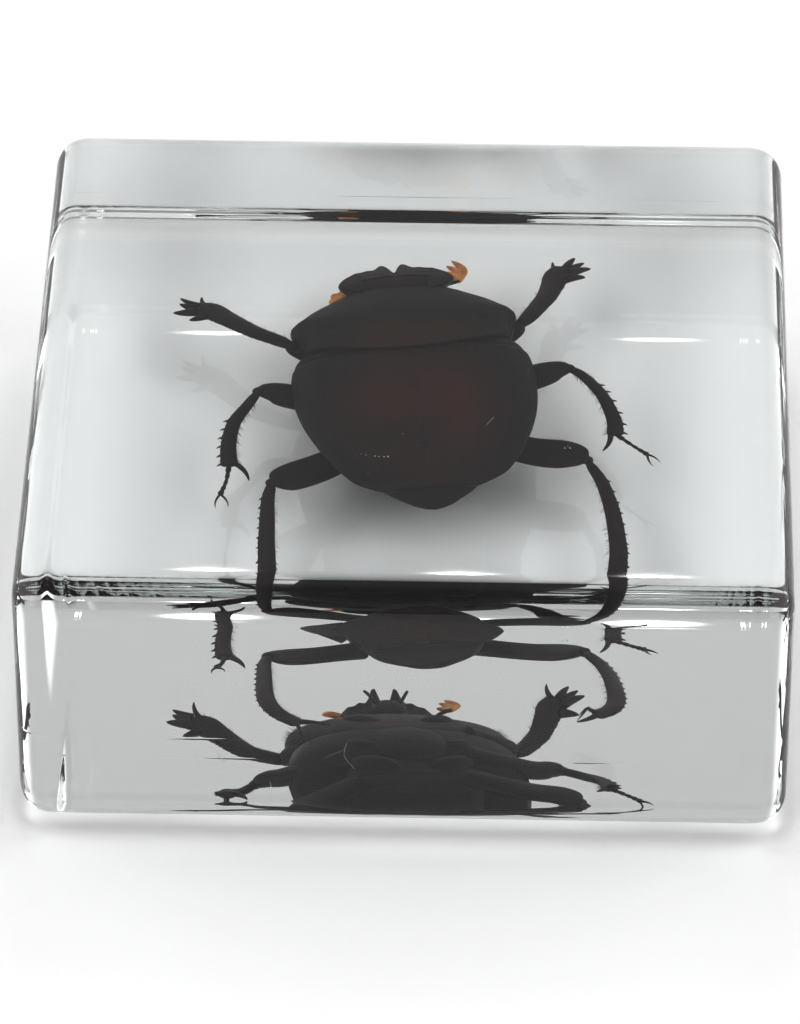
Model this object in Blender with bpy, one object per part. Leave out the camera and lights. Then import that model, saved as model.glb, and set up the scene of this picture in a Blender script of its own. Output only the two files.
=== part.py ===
"""A roller dung beetle sealed in a clear resin block: lower and upper resin halves round the beetle.

Metres, +Z up. The origin is the middle of the block's base. The block's front face looks along -Y.
Lengths below are in millimetres, and every point is turned into metres where its mesh is made.
"""

import math

import bmesh
import bpy
import numpy as np
from mathutils import Vector

MM = 0.001

# The block: a stock square slab with every edge rounded.
BLOCK_WIDTH = 40.0
BLOCK_DEPTH = 40.0
BLOCK_HEIGHT = 16.0
EDGE_RADIUS = 2.0
EDGE_STEPS = 5

# The first pour ends at this height. The halves stand this far apart there.
PARTING_HEIGHT = 6.2
PARTING_GAP = 0.3
POCKET_CLEARANCE = 0.45
SHALLOWEST_RECESS = 0.5
TIP_DEPTH = 0.3

# The beetle's own frame: s runs forward from its middle, w to its right, h up from its side margin.
BEETLE_MIDDLE = (0.05, 2.8, 6.2)
BEETLE_TURN = math.radians(7.5)
BEETLE_ROLL = math.radians(2.8)

# Body lofts, one row for each ring: s, half width, top h, underside h, how far the ring's sides lead its
# middle, and the h of its side margin.
HIND_BODY = [
    (3.5, 4.9, 2.0, -2.0, 0.0, 0.0),
    (2.4, 6.0, 2.6, -2.4, 0.0, 0.0),
    (1.3, 6.4, 2.8, -2.5, 0.0, 0.0),
    (0.0, 6.55, 2.9, -2.4, 0.0, 0.0),
    (-1.5, 6.52, 2.85, -1.9, 0.0, 0.2),
    (-3.6, 6.25, 2.8, -0.6, 0.0, 0.9),
    (-5.4, 5.8, 2.7, 0.6, 0.0, 1.45),
    (-7.0, 5.2, 2.5, 1.2, 0.0, 1.65),
    (-8.1, 4.6, 2.15, 1.0, 0.0, 1.55),
    (-8.85, 3.85, 1.7, 0.5, 0.0, 1.1),
    (-9.35, 2.6, 1.1, 0.2, 0.0, 0.6),
]
FORE_BODY = [
    (1.25, 5.0, 2.9, -2.0, 1.25, 0.0),
    (1.9, 5.5, 2.95, -2.3, 1.0, 0.0),
    (2.9, 5.6, 2.95, -2.4, 0.6, 0.0),
    (4.1, 5.8, 2.8, -2.3, 0.3, 0.0),
    (5.1, 5.85, 2.5, -2.1, 0.1, 0.0),
    (5.75, 5.35, 2.2, -1.9, 0.0, 0.0),
    (6.4, 4.7, 1.85, -1.7, 0.0, 0.0),
    (7.0, 3.95, 1.5, -1.5, 0.0, 0.0),
    (7.5, 3.25, 1.2, -1.3, 0.0, 0.0),
    (7.95, 2.4, 0.9, -1.1, 0.0, 0.0),
    (8.2, 1.5, 0.65, -0.9, 0.0, 0.0),
]
TAIL = [
    (-1.0, 3.6, -0.5, -2.1, 0.0, -1.2),
    (-3.6, 3.7, 0.2, -2.0, 0.0, -0.6),
    (-6.0, 3.3, 0.6, -1.6, 0.0, 0.0),
    (-8.1, 3.0, 0.8, -1.0, 0.0, 0.2),
    (-9.2, 2.4, 0.7, -0.65, 0.0, 0.15),
    (-9.8, 1.75, 0.45, -0.5, 0.0, 0.05),
    (-10.3, 1.1, 0.25, -0.4, 0.0, 0.0),
    (-10.6, 0.55, 0.1, -0.25, 0.0, -0.05),
]
POCKET_BODY = [
    (11.6, 2.2, 0.4, -2.3, 0.0, -0.6),
    (10.0, 4.2, 1.3, -2.5, 0.0, -0.3),
    (7.4, 5.5, 2.5, -2.7, 0.0, 0.0),
    (4.6, 7.0, 3.6, -3.1, 0.0, 0.0),
    (1.6, 7.3, 3.8, -3.3, 0.0, 0.0),
    (-1.6, 7.4, 3.8, -3.1, 0.0, 0.4),
    (-4.9, 7.1, 3.7, -2.9, 0.0, 1.1),
    (-8.0, 5.9, 3.4, -2.5, 0.0, 1.3),
    (-10.0, 4.0, 2.5, -1.8, 0.0, 0.9),
    (-11.4, 1.8, 1.1, -1.2, 0.0, 0.0),
]
BODY_SIDES = 28
POCKET_SIDES = 16
SECTION_FULLNESS = 0.82

# The head's front edge to the right of its middle, w and s: notch, tooth, clypeus, and the cheek's corner.
HEAD_EDGE = [
    (0.0, 10.5),
    (0.3, 10.65),
    (0.48, 10.98),
    (0.72, 11.0),
    (0.95, 10.66),
    (1.5, 10.56),
    (2.1, 10.08),
    (2.65, 9.5),
    (3.05, 8.9),
]
HEAD_BACK = 7.6
HEAD_RIM = 0.14
HEAD_DEPTH = 0.8
HEAD_LIFT = 0.44
HEAD_DROP = 0.155

# Legs in the block's frame. A limb row is x, y, z, its breadth and its thickness, and in a fore tibia its
# roll in degrees.
LEFT_FORE = {
    "femur": [
        (-3.4, 5.1, 4.6, 1.7, 1.3),
        (-5.4, 5.45, 5.5, 1.6, 1.2),
        (-6.9, 5.95, 6.25, 1.1, 0.9),
    ],
    "tibia": [
        (-6.6, 5.6, 6.4, 0.6, 0.6, 10.0),
        (-7.2, 6.05, 6.41, 0.95, 0.62, 12.0),
        (-8.6, 6.86, 6.35, 1.1, 0.62, 16.0),
        (-9.6, 7.73, 6.04, 1.25, 0.6, 18.0),
        (-10.3, 8.4, 5.75, 1.4, 0.55, 20.0),
        (-11.12, 9.15, 5.45, 1.65, 0.5, 22.0),
        (-11.85, 9.45, 5.3, 1.3, 0.42, 22.0),
    ],
    "teeth": [
        ((-11.3, 8.7, 5.65), (-12.24, 8.1, 5.8), 0.34),
        ((-11.95, 9.15, 5.35), (-13.16, 9.05, 5.22), 0.36),
        ((-12.0, 9.5, 5.25), (-12.85, 9.92, 5.1), 0.3),
        ((-11.8, 9.75, 5.15), (-12.85, 10.5, 4.97), 0.26),
    ],
    "spurs": [((-11.35, 9.7, 5.15), (-11.67, 10.87, 4.54), 0.18)],
}
RIGHT_FORE = {
    "femur": [
        (3.1, 6.1, 4.6, 1.7, 1.3),
        (4.7, 7.1, 5.6, 1.6, 1.2),
        (5.85, 8.05, 6.4, 1.2, 0.9),
    ],
    "tibia": [
        (5.6, 7.6, 6.5, 0.6, 0.6, -10.0),
        (6.15, 8.35, 6.58, 0.95, 0.62, -12.0),
        (6.68, 9.4, 6.45, 1.05, 0.62, -14.0),
        (7.15, 10.46, 6.22, 1.15, 0.6, -18.0),
        (7.45, 11.65, 5.79, 1.3, 0.55, -20.0),
        (7.72, 12.83, 5.42, 1.5, 0.5, -22.0),
        (8.2, 13.6, 5.15, 1.3, 0.42, -22.0),
    ],
    "teeth": [
        ((8.2, 12.4, 5.6), (9.27, 12.49, 5.74), 0.36),
        ((8.4, 13.1, 5.25), (9.57, 13.71, 4.92), 0.36),
        ((8.5, 13.5, 5.1), (9.2, 14.28, 4.8), 0.28),
        ((8.2, 13.6, 5.05), (8.69, 14.77, 4.72), 0.3),
    ],
    "spurs": [((7.75, 13.4, 4.95), (7.48, 14.52, 4.46), 0.18)],
}
LEFT_MIDDLE = {
    "femur": [
        (-3.2, 1.4, 4.4, 1.7, 1.3),
        (-6.38, 1.63, 5.72, 1.95, 1.1),
        (-7.5, 1.85, 6.05, 1.5, 0.95),
        (-8.4, 1.65, 6.42, 0.7, 0.6),
    ],
    "tibia": [
        (-8.2, 1.7, 6.4, 0.5, 0.5),
        (-8.84, 0.33, 6.3, 0.62, 0.5),
        (-9.34, -0.6, 6.0, 0.7, 0.5),
        (-9.58, -1.6, 5.55, 0.75, 0.5),
        (-9.63, -2.7, 5.1, 0.82, 0.52),
        (-9.5, -3.85, 4.75, 0.95, 0.5),
    ],
    "spurs": [((-9.2, -3.6, 4.75), (-8.45, -4.91, 4.58), 0.18)],
    "tarsus": [
        (-9.55, -3.75, 4.8, 0.38, 0.32),
        (-9.65, -5.2, 5.0, 0.24, 0.24),
        (-9.9, -6.4, 5.25, 0.36, 0.3),
    ],
    "claws": [(-10.07, -7.67, 5.34), (-9.44, -7.64, 5.45)],
}
RIGHT_MIDDLE = {
    "femur": [
        (3.3, 2.6, 4.5, 1.7, 1.3),
        (6.58, 3.6, 5.85, 1.95, 1.1),
        (7.8, 4.15, 6.05, 1.4, 0.95),
        (8.6, 4.15, 6.18, 0.7, 0.6),
    ],
    "tibia": [
        (8.4, 4.2, 6.18, 0.5, 0.5),
        (9.05, 3.71, 6.15, 0.56, 0.5),
        (9.73, 2.84, 6.0, 0.62, 0.5),
        (10.29, 1.89, 5.75, 0.66, 0.5),
        (10.82, 0.3, 5.38, 0.78, 0.52),
        (10.9, -0.95, 5.12, 0.92, 0.5),
    ],
    "spurs": [((10.65, -0.75, 5.1), (10.2, -2.11, 4.82), 0.18)],
    "tarsus": [
        (10.95, -0.85, 5.15, 0.38, 0.32),
        (11.9, -1.85, 5.2, 0.24, 0.24),
        (12.6, -2.55, 5.28, 0.36, 0.3),
    ],
    "claws": [(13.3, -3.25, 5.28), (12.95, -3.62, 5.36)],
}
LEFT_HIND = {
    "femur": [
        (-2.5, -1.9, 4.6, 1.6, 1.0),
        (-4.57, -3.85, 5.1, 2.2, 0.64),
        (-6.25, -5.0, 5.38, 2.2, 0.64),
        (-7.15, -5.75, 5.62, 1.45, 0.55),
    ],
    "tibia": [
        (-7.22, -5.6, 5.66, 0.55, 0.5),
        (-7.35, -7.0, 5.7, 0.68, 0.5),
        (-7.32, -9.0, 5.75, 0.78, 0.5),
        (-7.27, -11.0, 5.7, 0.85, 0.52),
        (-7.05, -12.7, 5.55, 0.92, 0.55),
        (-6.45, -14.0, 5.35, 0.95, 0.55),
        (-5.4, -14.9, 5.1, 0.95, 0.5),
    ],
    "spurs": [((-5.5, -14.75, 5.15), (-3.72, -15.1, 5.1), 0.18)],
    "tarsus": [
        (-5.55, -14.75, 5.1, 0.34, 0.3),
        (-5.35, -15.05, 4.7, 0.3, 0.28),
        (-5.25, -15.25, 4.35, 0.28, 0.26),
    ],
    "claws": [(-5.4, -15.6, 3.8), (-4.8, -15.5, 3.92)],
}
RIGHT_HIND = {
    "femur": [
        (3.1, -0.7, 4.55, 1.6, 1.0),
        (6.35, -2.15, 4.84, 2.25, 0.64),
        (8.3, -2.55, 4.98, 2.3, 0.64),
        (9.35, -3.2, 5.22, 1.45, 0.55),
    ],
    "tibia": [
        (9.4, -3.1, 5.26, 0.55, 0.5),
        (10.2, -5.0, 5.3, 0.68, 0.5),
        (10.7, -7.2, 5.4, 0.78, 0.5),
        (10.97, -9.4, 5.45, 0.85, 0.52),
        (11.05, -11.2, 5.42, 0.92, 0.55),
        (10.75, -12.6, 5.4, 1.0, 0.55),
        (10.0, -13.4, 5.35, 1.0, 0.5),
    ],
    "spurs": [((10.05, -13.25, 5.3), (8.98, -13.6, 4.95), 0.18)],
    "tarsus": [
        (10.15, -13.2, 5.4, 0.34, 0.3),
        (9.8, -13.35, 5.65, 0.3, 0.28),
        (9.55, -13.4, 5.85, 0.28, 0.26),
    ],
    "claws": [(9.05, -13.65, 5.3), (9.0, -13.6, 5.0)],
}
LEGS = {
    "left_fore": LEFT_FORE,
    "right_fore": RIGHT_FORE,
    "left_middle": LEFT_MIDDLE,
    "right_middle": RIGHT_MIDDLE,
    "left_hind": LEFT_HIND,
    "right_hind": RIGHT_HIND,
}
# The comb of spines down a tibia's outer edge: how many, the share of the tibia where it starts, their
# length, and the side of the tibia that is outward.
COMBS = {
    "left_fore": (5, 0.3, 0.14, 1),
    "right_fore": (5, 0.3, 0.14, -1),
    "left_middle": (6, 0.42, 0.26, -1),
    "right_middle": (6, 0.42, 0.26, 1),
    "left_hind": (9, 0.16, 0.18, -1),
    "right_hind": (9, 0.16, 0.18, 1),
}

# Antennae in the block's frame: the stalk's rows, and the middle and tip of each leaf of its club.
ANTENNAE = {
    "left": {
        "stalk": [
            (-2.6, 10.2, 5.35, 0.4, 0.36),
            (-3.2, 10.1, 5.2, 0.32, 0.3),
            (-3.72, 10.14, 5.1, 0.3, 0.3),
        ],
        "leaves": [
            ((-4.25, 10.15, 5.1), (-4.8, 10.44, 5.16)),
            ((-4.25, 10.55, 5.15), (-4.66, 11.02, 5.16)),
            ((-3.95, 10.7, 5.2), (-4.14, 11.25, 5.2)),
        ],
    },
    "right": {
        "stalk": [
            (0.8, 10.9, 6.2, 0.4, 0.36),
            (1.75, 11.8, 5.52, 0.32, 0.3),
            (2.35, 12.17, 5.4, 0.3, 0.3),
        ],
        "leaves": [
            ((2.55, 13.1, 5.48), (1.9, 13.95, 5.5)),
            ((2.23, 12.9, 5.5), (1.63, 13.45, 5.5)),
            ((1.98, 12.55, 5.55), (1.5, 12.85, 5.6)),
        ],
    },
}
LEAF_BREADTH = 0.46
LEAF_THICKNESS = 0.3


def clear_scene():
    for old in list(bpy.data.objects):
        bpy.data.objects.remove(old, do_unlink=True)


def make_material(name, colour, roughness, alpha=1.0, transmission=0.0, ior=1.5):
    material = bpy.data.materials.new(name)
    material.use_nodes = True
    shader = material.node_tree.nodes["Principled BSDF"]
    shader.inputs["Base Color"].default_value = (*colour, 1.0)
    shader.inputs["Roughness"].default_value = roughness
    shader.inputs["Metallic"].default_value = 0.0
    shader.inputs["Alpha"].default_value = alpha
    shader.inputs["Transmission Weight"].default_value = transmission
    shader.inputs["IOR"].default_value = ior
    return material


def make_object(name, mesh, material=None):
    obj = bpy.data.objects.new(name, mesh)
    bpy.context.scene.collection.objects.link(obj)
    if material:
        mesh.materials.append(material)
    return obj


def make_helper(name, mesh):
    """A piece that only takes part in a Boolean."""
    helper = make_object(name, mesh)
    helper.hide_render = True
    helper.display_type = "WIRE"
    return helper


def rings_to_mesh(name, rings, near_pole, far_pole):
    """A closed skin through rings of equal count, shut by a fan to a pole at each end."""
    bm = bmesh.new()
    loops = [[bm.verts.new(Vector(point) * MM) for point in ring] for ring in rings]
    for one, two in zip(loops, loops[1:]):
        for i in range(len(one)):
            j = (i + 1) % len(one)
            bm.faces.new((one[i], one[j], two[j], two[i]))
    for loop, pole in ((loops[0], near_pole), (loops[-1], far_pole)):
        tip = bm.verts.new(Vector(pole) * MM)
        for i in range(len(loop)):
            bm.faces.new((loop[i], loop[(i + 1) % len(loop)], tip))
    bmesh.ops.recalc_face_normals(bm, faces=bm.faces)
    mesh = bpy.data.meshes.new(name)
    bm.to_mesh(mesh)
    bm.free()
    mesh.shade_smooth()
    return mesh


def from_beetle(s, w, h):
    """A point of the beetle's own frame, in the block's frame."""
    sine, cosine = math.sin(BEETLE_TURN), math.cos(BEETLE_TURN)
    x = BEETLE_MIDDLE[0] + w * cosine - s * sine
    y = BEETLE_MIDDLE[1] + w * sine + s * cosine
    return (x, y, BEETLE_MIDDLE[2] + h + w * math.sin(BEETLE_ROLL))


def body_loft(name, rows, sides, end_reach=0.3):
    """A loft of superellipse rings along the body, fuller than ellipses, with a short end each way."""
    rings = []
    for s, half, top, under, lead, margin in rows:
        ring = []
        for angle in np.linspace(0, 2 * math.pi, sides, endpoint=False):
            across = math.copysign(abs(math.cos(angle)) ** SECTION_FULLNESS, math.cos(angle))
            reach = (top if math.sin(angle) > 0 else under) - margin
            rise = margin + reach * abs(math.sin(angle)) ** SECTION_FULLNESS
            ring.append(from_beetle(s + lead * across * across, half * across, rise))
        rings.append(ring)
    poles = []
    for row, other in ((rows[0], rows[1]), (rows[-1], rows[-2])):
        ahead = end_reach if row[0] > other[0] else -end_reach
        poles.append(from_beetle(row[0] + ahead, 0.0, (row[2] + row[3]) / 2))
    return rings_to_mesh(name, rings, poles[0], poles[1])


def head_height(s):
    """The height of the head's middle surface, which bends down towards the front."""
    return HEAD_LIFT - HEAD_DROP * (s - HEAD_BACK) ** 2


def head_plate():
    """The head as slices across its width: each a lens from the neck to the front edge, thin at the rim."""
    edge = [(-w, s) for w, s in reversed(HEAD_EDGE[1:])] + HEAD_EDGE
    widest = HEAD_EDGE[-1][0]
    rings = []
    for w, front in edge:
        depth = HEAD_DEPTH * math.sqrt(1 - (w / (widest * 1.06)) ** 2)
        back = HEAD_BACK + 0.85 * (w / widest) ** 4
        profile = []
        for along in (0.0, 0.35, 0.7, 0.9, 1.0):
            profile.append((back + (front - back) * along, HEAD_RIM + depth * (1 - along**2)))
        over = [from_beetle(s, w, head_height(s) + thick * 0.6) for s, thick in profile]
        below = [from_beetle(s, w, head_height(s) - thick) for s, thick in reversed(profile)]
        rings.append(over + below)
    corner = HEAD_EDGE[-1][1] - 0.25
    ends = [from_beetle(corner, side * (widest + 0.08), head_height(corner)) for side in (-1, 1)]
    return rings_to_mesh("head", rings, ends[0], ends[1])


def smooth_rows(rows, steps):
    """Catmull-Rom through the rows, with that many steps between each pair."""
    table = np.array(rows, float)
    if len(table) < 3:
        return table
    padded = np.vstack([2 * table[0] - table[1], table, 2 * table[-1] - table[-2]])
    out = []
    for i in range(1, len(padded) - 2):
        a, b, c, d = padded[i - 1 : i + 3]
        for t in np.arange(steps) / steps:
            squared = (2 * a - 5 * b + 4 * c - d) * t**2
            cubed = (3 * b - a - 3 * c + d) * t**3
            out.append(b + (c - a) * t / 2 + squared / 2 + cubed / 2)
    out.append(table[-1])
    return np.array(out)


def limb_frames(path):
    """For each row of a path: its point, its direction, and the direction across it, rolled."""
    points = [Vector(row[:3]) for row in path]
    frames = []
    for i, point in enumerate(points):
        ahead = (points[min(i + 1, len(points) - 1)] - points[max(i - 1, 0)]).normalized()
        across = Vector((0, 0, 1)).cross(ahead)
        if across.length < 0.25:
            across = Vector((0, 1, 0)).cross(ahead)
        across.normalize()
        roll = math.radians(path[i][5]) if len(path[i]) > 5 else 0.0
        across = across * math.cos(roll) + ahead.cross(across) * math.sin(roll)
        frames.append((point, ahead, across))
    return frames


def limb_mesh(name, rows, sides, steps):
    """A limb of elliptical section carried along a smooth path, with blunt ends."""
    path = smooth_rows(rows, steps)
    frames = limb_frames(path)
    rings = []
    for (point, ahead, across), row in zip(frames, path):
        up = ahead.cross(across)
        ring = []
        for angle in np.linspace(0, 2 * math.pi, sides, endpoint=False):
            sideways = across * (row[3] / 2 * math.cos(angle))
            ring.append(point + sideways + up * (row[4] / 2 * math.sin(angle)))
        rings.append(ring)
    near = frames[0][0] - frames[0][1] * (path[0][4] * 0.35)
    far = frames[-1][0] + frames[-1][1] * (path[-1][4] * 0.35)
    return rings_to_mesh(name, rings, near, far)


def spike_mesh(name, root, tip, radius, sides=4):
    """A slender closed cone from root to tip."""
    root, tip = Vector(root), Vector(tip)
    ahead = (tip - root).normalized()
    across = ahead.orthogonal().normalized()
    up = ahead.cross(across)
    ring = []
    for angle in np.linspace(0, 2 * math.pi, sides, endpoint=False):
        ring.append(root + (across * math.cos(angle) + up * math.sin(angle)) * radius)
    return rings_to_mesh(name, [ring], root - ahead * radius * 0.5, tip)


def comb_spikes(leg, count, start, length, side):
    """Spines down the tibia's outer edge, leaning towards its end."""
    path = smooth_rows(leg["tibia"], 6)
    frames = limb_frames(path)
    spikes = []
    for share in np.linspace(start, 0.95, count):
        i = int(round(share * (len(path) - 1)))
        point, ahead, across = frames[i]
        outward = across * side
        root = point + outward * path[i][3] * 0.36
        tip = point + outward * (path[i][3] / 2 + length) + ahead * length * 0.8
        spikes.append((root, tip, 0.13))
    return spikes


def leg_meshes(name, leg):
    meshes = [
        limb_mesh(name + "_femur", leg["femur"], 8, 3),
        limb_mesh(name + "_tibia", leg["tibia"], 8, 2),
    ]
    if "tarsus" in leg:
        meshes.append(limb_mesh(name + "_tarsus", leg["tarsus"], 6, 2))
        foot = Vector(leg["tarsus"][-1][:3])
        meshes += [spike_mesh(name + "_claw", foot, claw, 0.1) for claw in leg["claws"]]
    pointed = leg["spurs"] + leg.get("teeth", []) + comb_spikes(leg, *COMBS[name])
    meshes += [spike_mesh(name + "_spine", root, tip, radius) for root, tip, radius in pointed]
    return meshes


def antenna_meshes(name, antenna):
    """A stalk that carries a club of flat leaves."""
    base = Vector(antenna["stalk"][-1][:3])
    meshes = [limb_mesh(name + "_stalk", antenna["stalk"], 6, 2)]
    for middle, tip in antenna["leaves"]:
        start = base - (Vector(middle) - base) * 0.2
        rows = [
            (*start, LEAF_BREADTH * 0.6, LEAF_THICKNESS * 0.8),
            (*middle, LEAF_BREADTH, LEAF_THICKNESS),
            (*tip, LEAF_BREADTH * 0.5, LEAF_THICKNESS * 0.6),
        ]
        meshes.append(limb_mesh(name + "_leaf", rows, 8, 3))
    return meshes


def slot_mesh(name, start, end, half_width, low, high):
    """A flat-floored slot: an upright prism with three-sided ends over one stretch of a limb."""
    start, end = Vector(start[:2]), Vector(end[:2])
    along = (end - start).normalized()
    side = Vector((-along.y, along.x))
    outline = []
    for centre, direction, across in ((end, along, side), (start, -along, -side)):
        for turn in (-90, -30, 30, 90):
            angle = math.radians(turn)
            reach = half_width if abs(turn) == 90 else half_width * 1.1
            outline.append(centre + (direction * math.cos(angle) + across * math.sin(angle)) * reach)
    high = max(high, PARTING_HEIGHT + SHALLOWEST_RECESS)
    rings = [[(p.x, p.y, z) for p in outline] for z in (low, high)]
    centre = (start + end) / 2
    return rings_to_mesh(name, rings, (centre.x, centre.y, low), (centre.x, centre.y, high))


def limb_slot(name, rows, extra=0.0):
    """The slot round the stretch of a limb that these rows span."""
    start, end = Vector(rows[0][:3]), Vector(rows[-1][:3])
    along = (end - start).xy.normalized()
    bow = max(abs(along.cross((Vector(row[:3]) - start).xy)) + row[3] / 2 for row in rows)
    low = min(row[2] - row[4] / 2 for row in rows) - POCKET_CLEARANCE
    high = max(row[2] + row[4] / 2 for row in rows) + POCKET_CLEARANCE
    return slot_mesh(name, start, end, bow + extra + POCKET_CLEARANCE, low, high)


def tips_slot(name, root, tips, extra=0.0):
    """The slot from a limb's end to the middle of its tips, wide enough for each of them."""
    root = Vector(root[:3])
    tips = [Vector(tip) for tip in tips]
    middle = sum(tips, Vector()) / len(tips)
    along = (middle - root).xy.normalized()
    wide = max(abs(along.cross((tip - root).xy)) for tip in tips)
    far = max(along.dot((tip - root).xy) for tip in tips)
    end = root.xy + along * max(0.3, far - wide * 0.3)
    heights = [tip.z for tip in tips] + [root.z]
    low, high = min(heights) - 2 * TIP_DEPTH, max(heights) + 2 * TIP_DEPTH
    return slot_mesh(name, root.xy, end, wide + extra + POCKET_CLEARANCE, low, high)


def pocket_meshes():
    """The pocket: a bowl and dome round the body, and flat-floored slots round each leg and antenna."""
    meshes = [body_loft("pocket_body", POCKET_BODY, POCKET_SIDES, end_reach=0.3)]
    for name, leg in LEGS.items():
        comb = COMBS[name][2]
        middle = len(leg["tibia"]) // 2
        tips = [tip for _, tip, _ in leg["spurs"] + leg.get("teeth", [])] + leg.get("claws", [])
        meshes.append(limb_slot("pocket_femur", leg["femur"][1:]))
        meshes.append(limb_slot("pocket_tibia", leg["tibia"][: middle + 1], comb))
        meshes.append(limb_slot("pocket_tibia", leg["tibia"][middle:], comb))
        meshes.append(tips_slot("pocket_foot", leg["tibia"][-1], tips))
    for antenna in ANTENNAE.values():
        tips = [point for leaf in antenna["leaves"] for point in leaf]
        meshes.append(tips_slot("pocket_antenna", antenna["stalk"][1], tips, LEAF_BREADTH / 3))
    return meshes


def block_half(name, material, low, high, pocket):
    """The rounded block between two heights, less the pocket."""
    bm = bmesh.new()
    bmesh.ops.create_cube(bm, size=1.0)
    bmesh.ops.scale(bm, vec=Vector((BLOCK_WIDTH, BLOCK_DEPTH, BLOCK_HEIGHT)) * MM, verts=bm.verts)
    bmesh.ops.translate(bm, vec=(0, 0, BLOCK_HEIGHT / 2 * MM), verts=bm.verts)
    bmesh.ops.bevel(
        bm,
        geom=list(bm.edges),
        offset=EDGE_RADIUS * MM,
        segments=EDGE_STEPS,
        profile=0.5,
        affect="EDGES",
    )
    for height, away in ((low, -1), (high, 1)):
        if 0 < height < BLOCK_HEIGHT:
            everything = list(bm.verts) + list(bm.edges) + list(bm.faces)
            cut = bmesh.ops.bisect_plane(
                bm,
                geom=everything,
                plane_co=(0, 0, height * MM),
                plane_no=(0, 0, away),
                clear_outer=True,
            )
            rim = [item for item in cut["geom_cut"] if isinstance(item, bmesh.types.BMEdge)]
            bmesh.ops.contextual_create(bm, geom=rim)
    bmesh.ops.recalc_face_normals(bm, faces=bm.faces)
    mesh = bpy.data.meshes.new(name)
    bm.to_mesh(mesh)
    bm.free()
    half = make_object(name, mesh, material)
    hollow = half.modifiers.new("pocket", "BOOLEAN")
    hollow.operation = "DIFFERENCE"
    hollow.operand_type = "COLLECTION"
    hollow.collection = pocket
    return half


def fused(name, material, meshes):
    """One solid: the first mesh, with the others joined to it by a Boolean union."""
    obj = make_object(name, meshes[0], material)
    others = bpy.data.collections.new(name + "_pieces")
    bpy.context.scene.collection.children.link(others)
    for i, mesh in enumerate(meshes[1:]):
        helper = make_helper(f"{name}_piece_{i}", mesh)
        bpy.context.scene.collection.objects.unlink(helper)
        others.objects.link(helper)
    join = obj.modifiers.new("join", "BOOLEAN")
    join.operation = "UNION"
    join.operand_type = "COLLECTION"
    join.collection = others
    return obj


def make_beetle():
    shell = make_material("beetle_shell", (0.035, 0.02, 0.015), 0.35)
    meshes = [
        body_loft("hind_body", HIND_BODY, BODY_SIDES),
        body_loft("fore_body", FORE_BODY, BODY_SIDES),
        body_loft("tail", TAIL, 16, end_reach=0.15),
        head_plate(),
    ]
    for name, leg in LEGS.items():
        meshes += leg_meshes(name, leg)
    for name, antenna in ANTENNAE.items():
        meshes += antenna_meshes(name, antenna)
    return fused("dung_beetle", shell, meshes)


def make_block():
    resin = make_material("clear_resin", (0.95, 0.96, 0.97), 0.02, alpha=0.35, transmission=1.0, ior=1.65)
    pocket = bpy.data.collections.new("pocket")
    bpy.context.scene.collection.children.link(pocket)
    for i, mesh in enumerate(pocket_meshes()):
        helper = make_helper(f"pocket_{i}", mesh)
        bpy.context.scene.collection.objects.unlink(helper)
        pocket.objects.link(helper)
    lower_top = PARTING_HEIGHT - PARTING_GAP / 2
    upper_base = PARTING_HEIGHT + PARTING_GAP / 2
    block_half("resin_block_lower", resin, 0.0, lower_top, pocket)
    block_half("resin_block_upper", resin, upper_base, BLOCK_HEIGHT, pocket)


def main():
    clear_scene()
    make_beetle()
    make_block()


main()
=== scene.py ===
"""Looks of a roller dung beetle cast in a clear resin block.

Metres, +Z up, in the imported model's frame: the origin is the middle of the block's base. Sizes in the
classes are millimetres, and MM turns them into metres where a mesh is made.
"""

import logging
import math
from collections.abc import Callable, Mapping, Sequence
from dataclasses import dataclass
from enum import Enum
from typing import Any

import bpy
import numpy as np
from mathutils import Matrix, Vector
from numpy.typing import NDArray


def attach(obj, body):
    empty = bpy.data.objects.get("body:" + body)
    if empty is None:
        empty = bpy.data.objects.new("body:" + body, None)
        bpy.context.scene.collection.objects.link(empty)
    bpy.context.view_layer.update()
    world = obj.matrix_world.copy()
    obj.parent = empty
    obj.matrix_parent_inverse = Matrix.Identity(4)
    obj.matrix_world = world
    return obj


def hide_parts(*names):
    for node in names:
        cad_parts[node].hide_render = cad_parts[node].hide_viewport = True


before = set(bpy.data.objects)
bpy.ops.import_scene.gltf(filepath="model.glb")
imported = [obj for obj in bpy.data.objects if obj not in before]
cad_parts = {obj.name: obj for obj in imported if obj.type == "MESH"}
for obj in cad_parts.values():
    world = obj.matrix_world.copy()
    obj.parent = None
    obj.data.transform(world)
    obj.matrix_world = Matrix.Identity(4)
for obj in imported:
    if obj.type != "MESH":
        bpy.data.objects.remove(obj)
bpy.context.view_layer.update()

MM = 0.001
UP = np.array([0.0, 0.0, 1.0])

Array = NDArray[np.float64]
Row = tuple[float, ...]
Rows = tuple[Row, ...]
Pair = tuple[float, float]
Point = tuple[float, float, float]

log = logging.getLogger("resin_block")


class Side(Enum):
    """The beetle's left or right, as the sign of its w axis."""

    LEFT = -1
    RIGHT = 1


# ---- Shader graphs ----


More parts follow.
